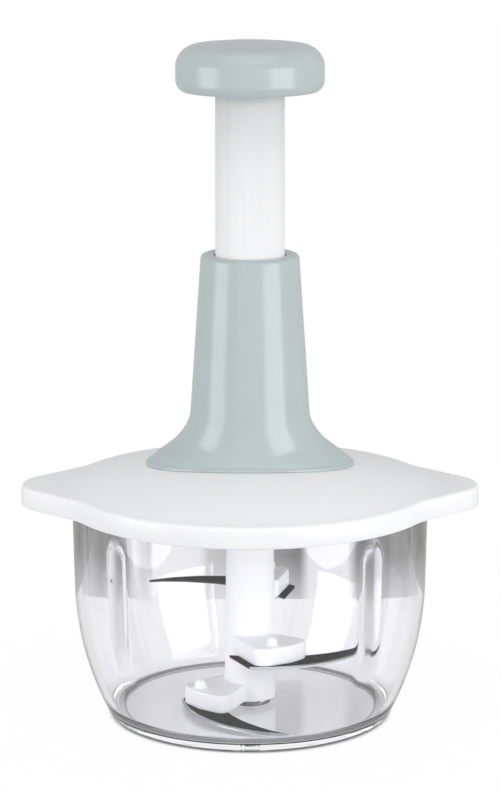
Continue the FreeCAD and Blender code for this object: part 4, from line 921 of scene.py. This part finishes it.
level = seen_or_lit(tree, floor_lit)
glow = node(tree, "Emission", Color=linear("#FFFFFF"), Strength=level).outputs["Emission"]
both = node(tree, "MixShader", _0=share.outputs["Color"], _1=paper_with_painted_shadow, _2=glow).outputs["Shader"]
node(tree, "OutputMaterial", Surface=both)
print("finish:", floor_material.name)

# %% Floor
floor_radius = 3.0
floor_bm = bmesh.new()
bmesh.ops.create_circle(floor_bm, cap_ends=True, segments=96, radius=floor_radius)
floor = scenery("floor", floor_bm, floor_material)
floor.visible_glossy = False
print("floor radius:", floor_radius, "m")

# %% [markdown]
# Clear plastic only shows by what lies behind it, and before pure white its walls would
# all but vanish. So a card stands just behind the bowl. Its grey is painted shade, and a
# bright band on each side of the shaft is a painted reflection of a softbox. It fades
# towards its lower edge, which hangs above the floor. It lights nothing: only rays that
# have passed through something clear see it.

# %% Card finish
card_half = 0.1
card_low, card_high, card_fade = 0.0215, 0.5215, 0.04
card_material, tree = bare("painted_shade_and_reflection_card")
here = node(tree, "SeparateXYZ", _0=node(tree, "TexCoord").outputs["Object"])
across = node(tree, "MapRange", Value=here.outputs["X"], From_Min=-card_half,
              From_Max=card_half).outputs["Result"]
# painted shade in grey, with two near-white bands of painted softbox reflection
bands = node(tree, "ValToRGB", Fac=across)
bands.color_ramp.elements[0].color = bands.color_ramp.elements[1].color = linear("#716F6B")
for x_mm, code in ((-61, "#716F6B"), (-45, "#F6F5F6"), (-22, "#F6F5F6"), (-18, "#CDCBC8"),
                   (22, "#6A6865"), (26, "#F0EFF0"), (43, "#F0EFF0"), (48, "#716F6B")):
    bands.color_ramp.elements.new(0.5 + x_mm * MM / (2 * card_half)).color = linear(code)
upward = node(tree, "MapRange", Value=here.outputs["Z"], From_Min=card_low, From_Max=card_fade,
              To_Min=0.5, To_Max=1.0).outputs["Result"]
tone = node(tree, "Mix", {"data_type": "RGBA"}, _0=upward, _6=linear("#FFFFFF"), _7=bands.outputs["Color"])
glow = node(tree, "Emission", Color=tone.outputs[2], Strength=1.0).outputs["Emission"]
node(tree, "OutputMaterial", Surface=glow)
print("finish:", card_material.name)

# %% Card
card_width, card_y = 1.4, 0.085
card_bm = bmesh.new()
bmesh.ops.create_grid(card_bm, x_segments=1, y_segments=1, size=0.5)
bmesh.ops.rotate(card_bm, verts=card_bm.verts, cent=(0, 0, 0), matrix=Matrix.Rotation(math.pi / 2, 3, "X"))
bmesh.ops.scale(card_bm, verts=card_bm.verts, vec=(card_width, 1.0, card_high - card_low))
bmesh.ops.translate(card_bm, verts=card_bm.verts, vec=(0, card_y, (card_low + card_high) / 2))
card = scenery("painted_shade_and_reflection_card", card_bm, card_material)
card.visible_camera = card.visible_diffuse = card.visible_glossy = card.visible_shadow = False
print("card stands", round(card_y / MM), "mm behind the axis")

# %% [markdown]
# The light itself is plain: a pale sky all round and four soft lamps. Rays that look at
# the background, straight or through the bowl, find it white, whatever the sky gives.

# %% World
world = bpy.data.worlds.new("studio")
bpy.context.scene.world = world
world.use_nodes = True
tree = world.node_tree
tree.nodes.clear()
sky_lit = 0.6
level = seen_or_lit(tree, sky_lit)
sky = node(tree, "Background", Color=linear("#FFFFFF"), Strength=level).outputs["Background"]
node(tree, "OutputWorld", Surface=sky)
print("strength of the sky as a light:", sky_lit)

# %% [markdown]
# Two tall softboxes stand at the left and the right in front. They draw the soft upright
# bands on the knob and the neck. A third hangs above and lights the knob's face and the
# lid. The fourth, behind the camera, fills the white shaft under the lid's shade.

# %% Lamps


def softbox(name, spot, aim, size, watts):
    """A soft rectangular lamp at a spot, aimed at a point, with its width and height in metres."""
    data = bpy.data.lights.new(name, "AREA")
    data.shape = "RECTANGLE"
    data.size, data.size_y = size
    data.energy = watts
    item = bpy.data.objects.new(name, data)
    bpy.context.scene.collection.objects.link(item)
    turn = (Vector(aim) - Vector(spot)).to_track_quat("-Z", "Y").to_matrix().to_4x4()
    item.matrix_world = Matrix.Translation(spot) @ turn
    print(f"{name}: {watts} W")


softbox("left_softbox", (-0.92, -0.39, 0.18), (0, 0, 0.18), (0.6, 0.8), 4.6)
softbox("right_softbox", (0.77, -0.64, 0.18), (0, 0, 0.18), (0.75, 0.8), 6.5)
softbox("top_softbox", (0, -0.3, 1.2), (0, 0, 0.1), (0.9, 0.9), 2.3)
softbox("front_softbox", (0, -1.3, 0.35), (0, 0, 0.1), (1.2, 0.9), 1.4)
bpy.context.scene.view_settings.view_transform = "Standard"
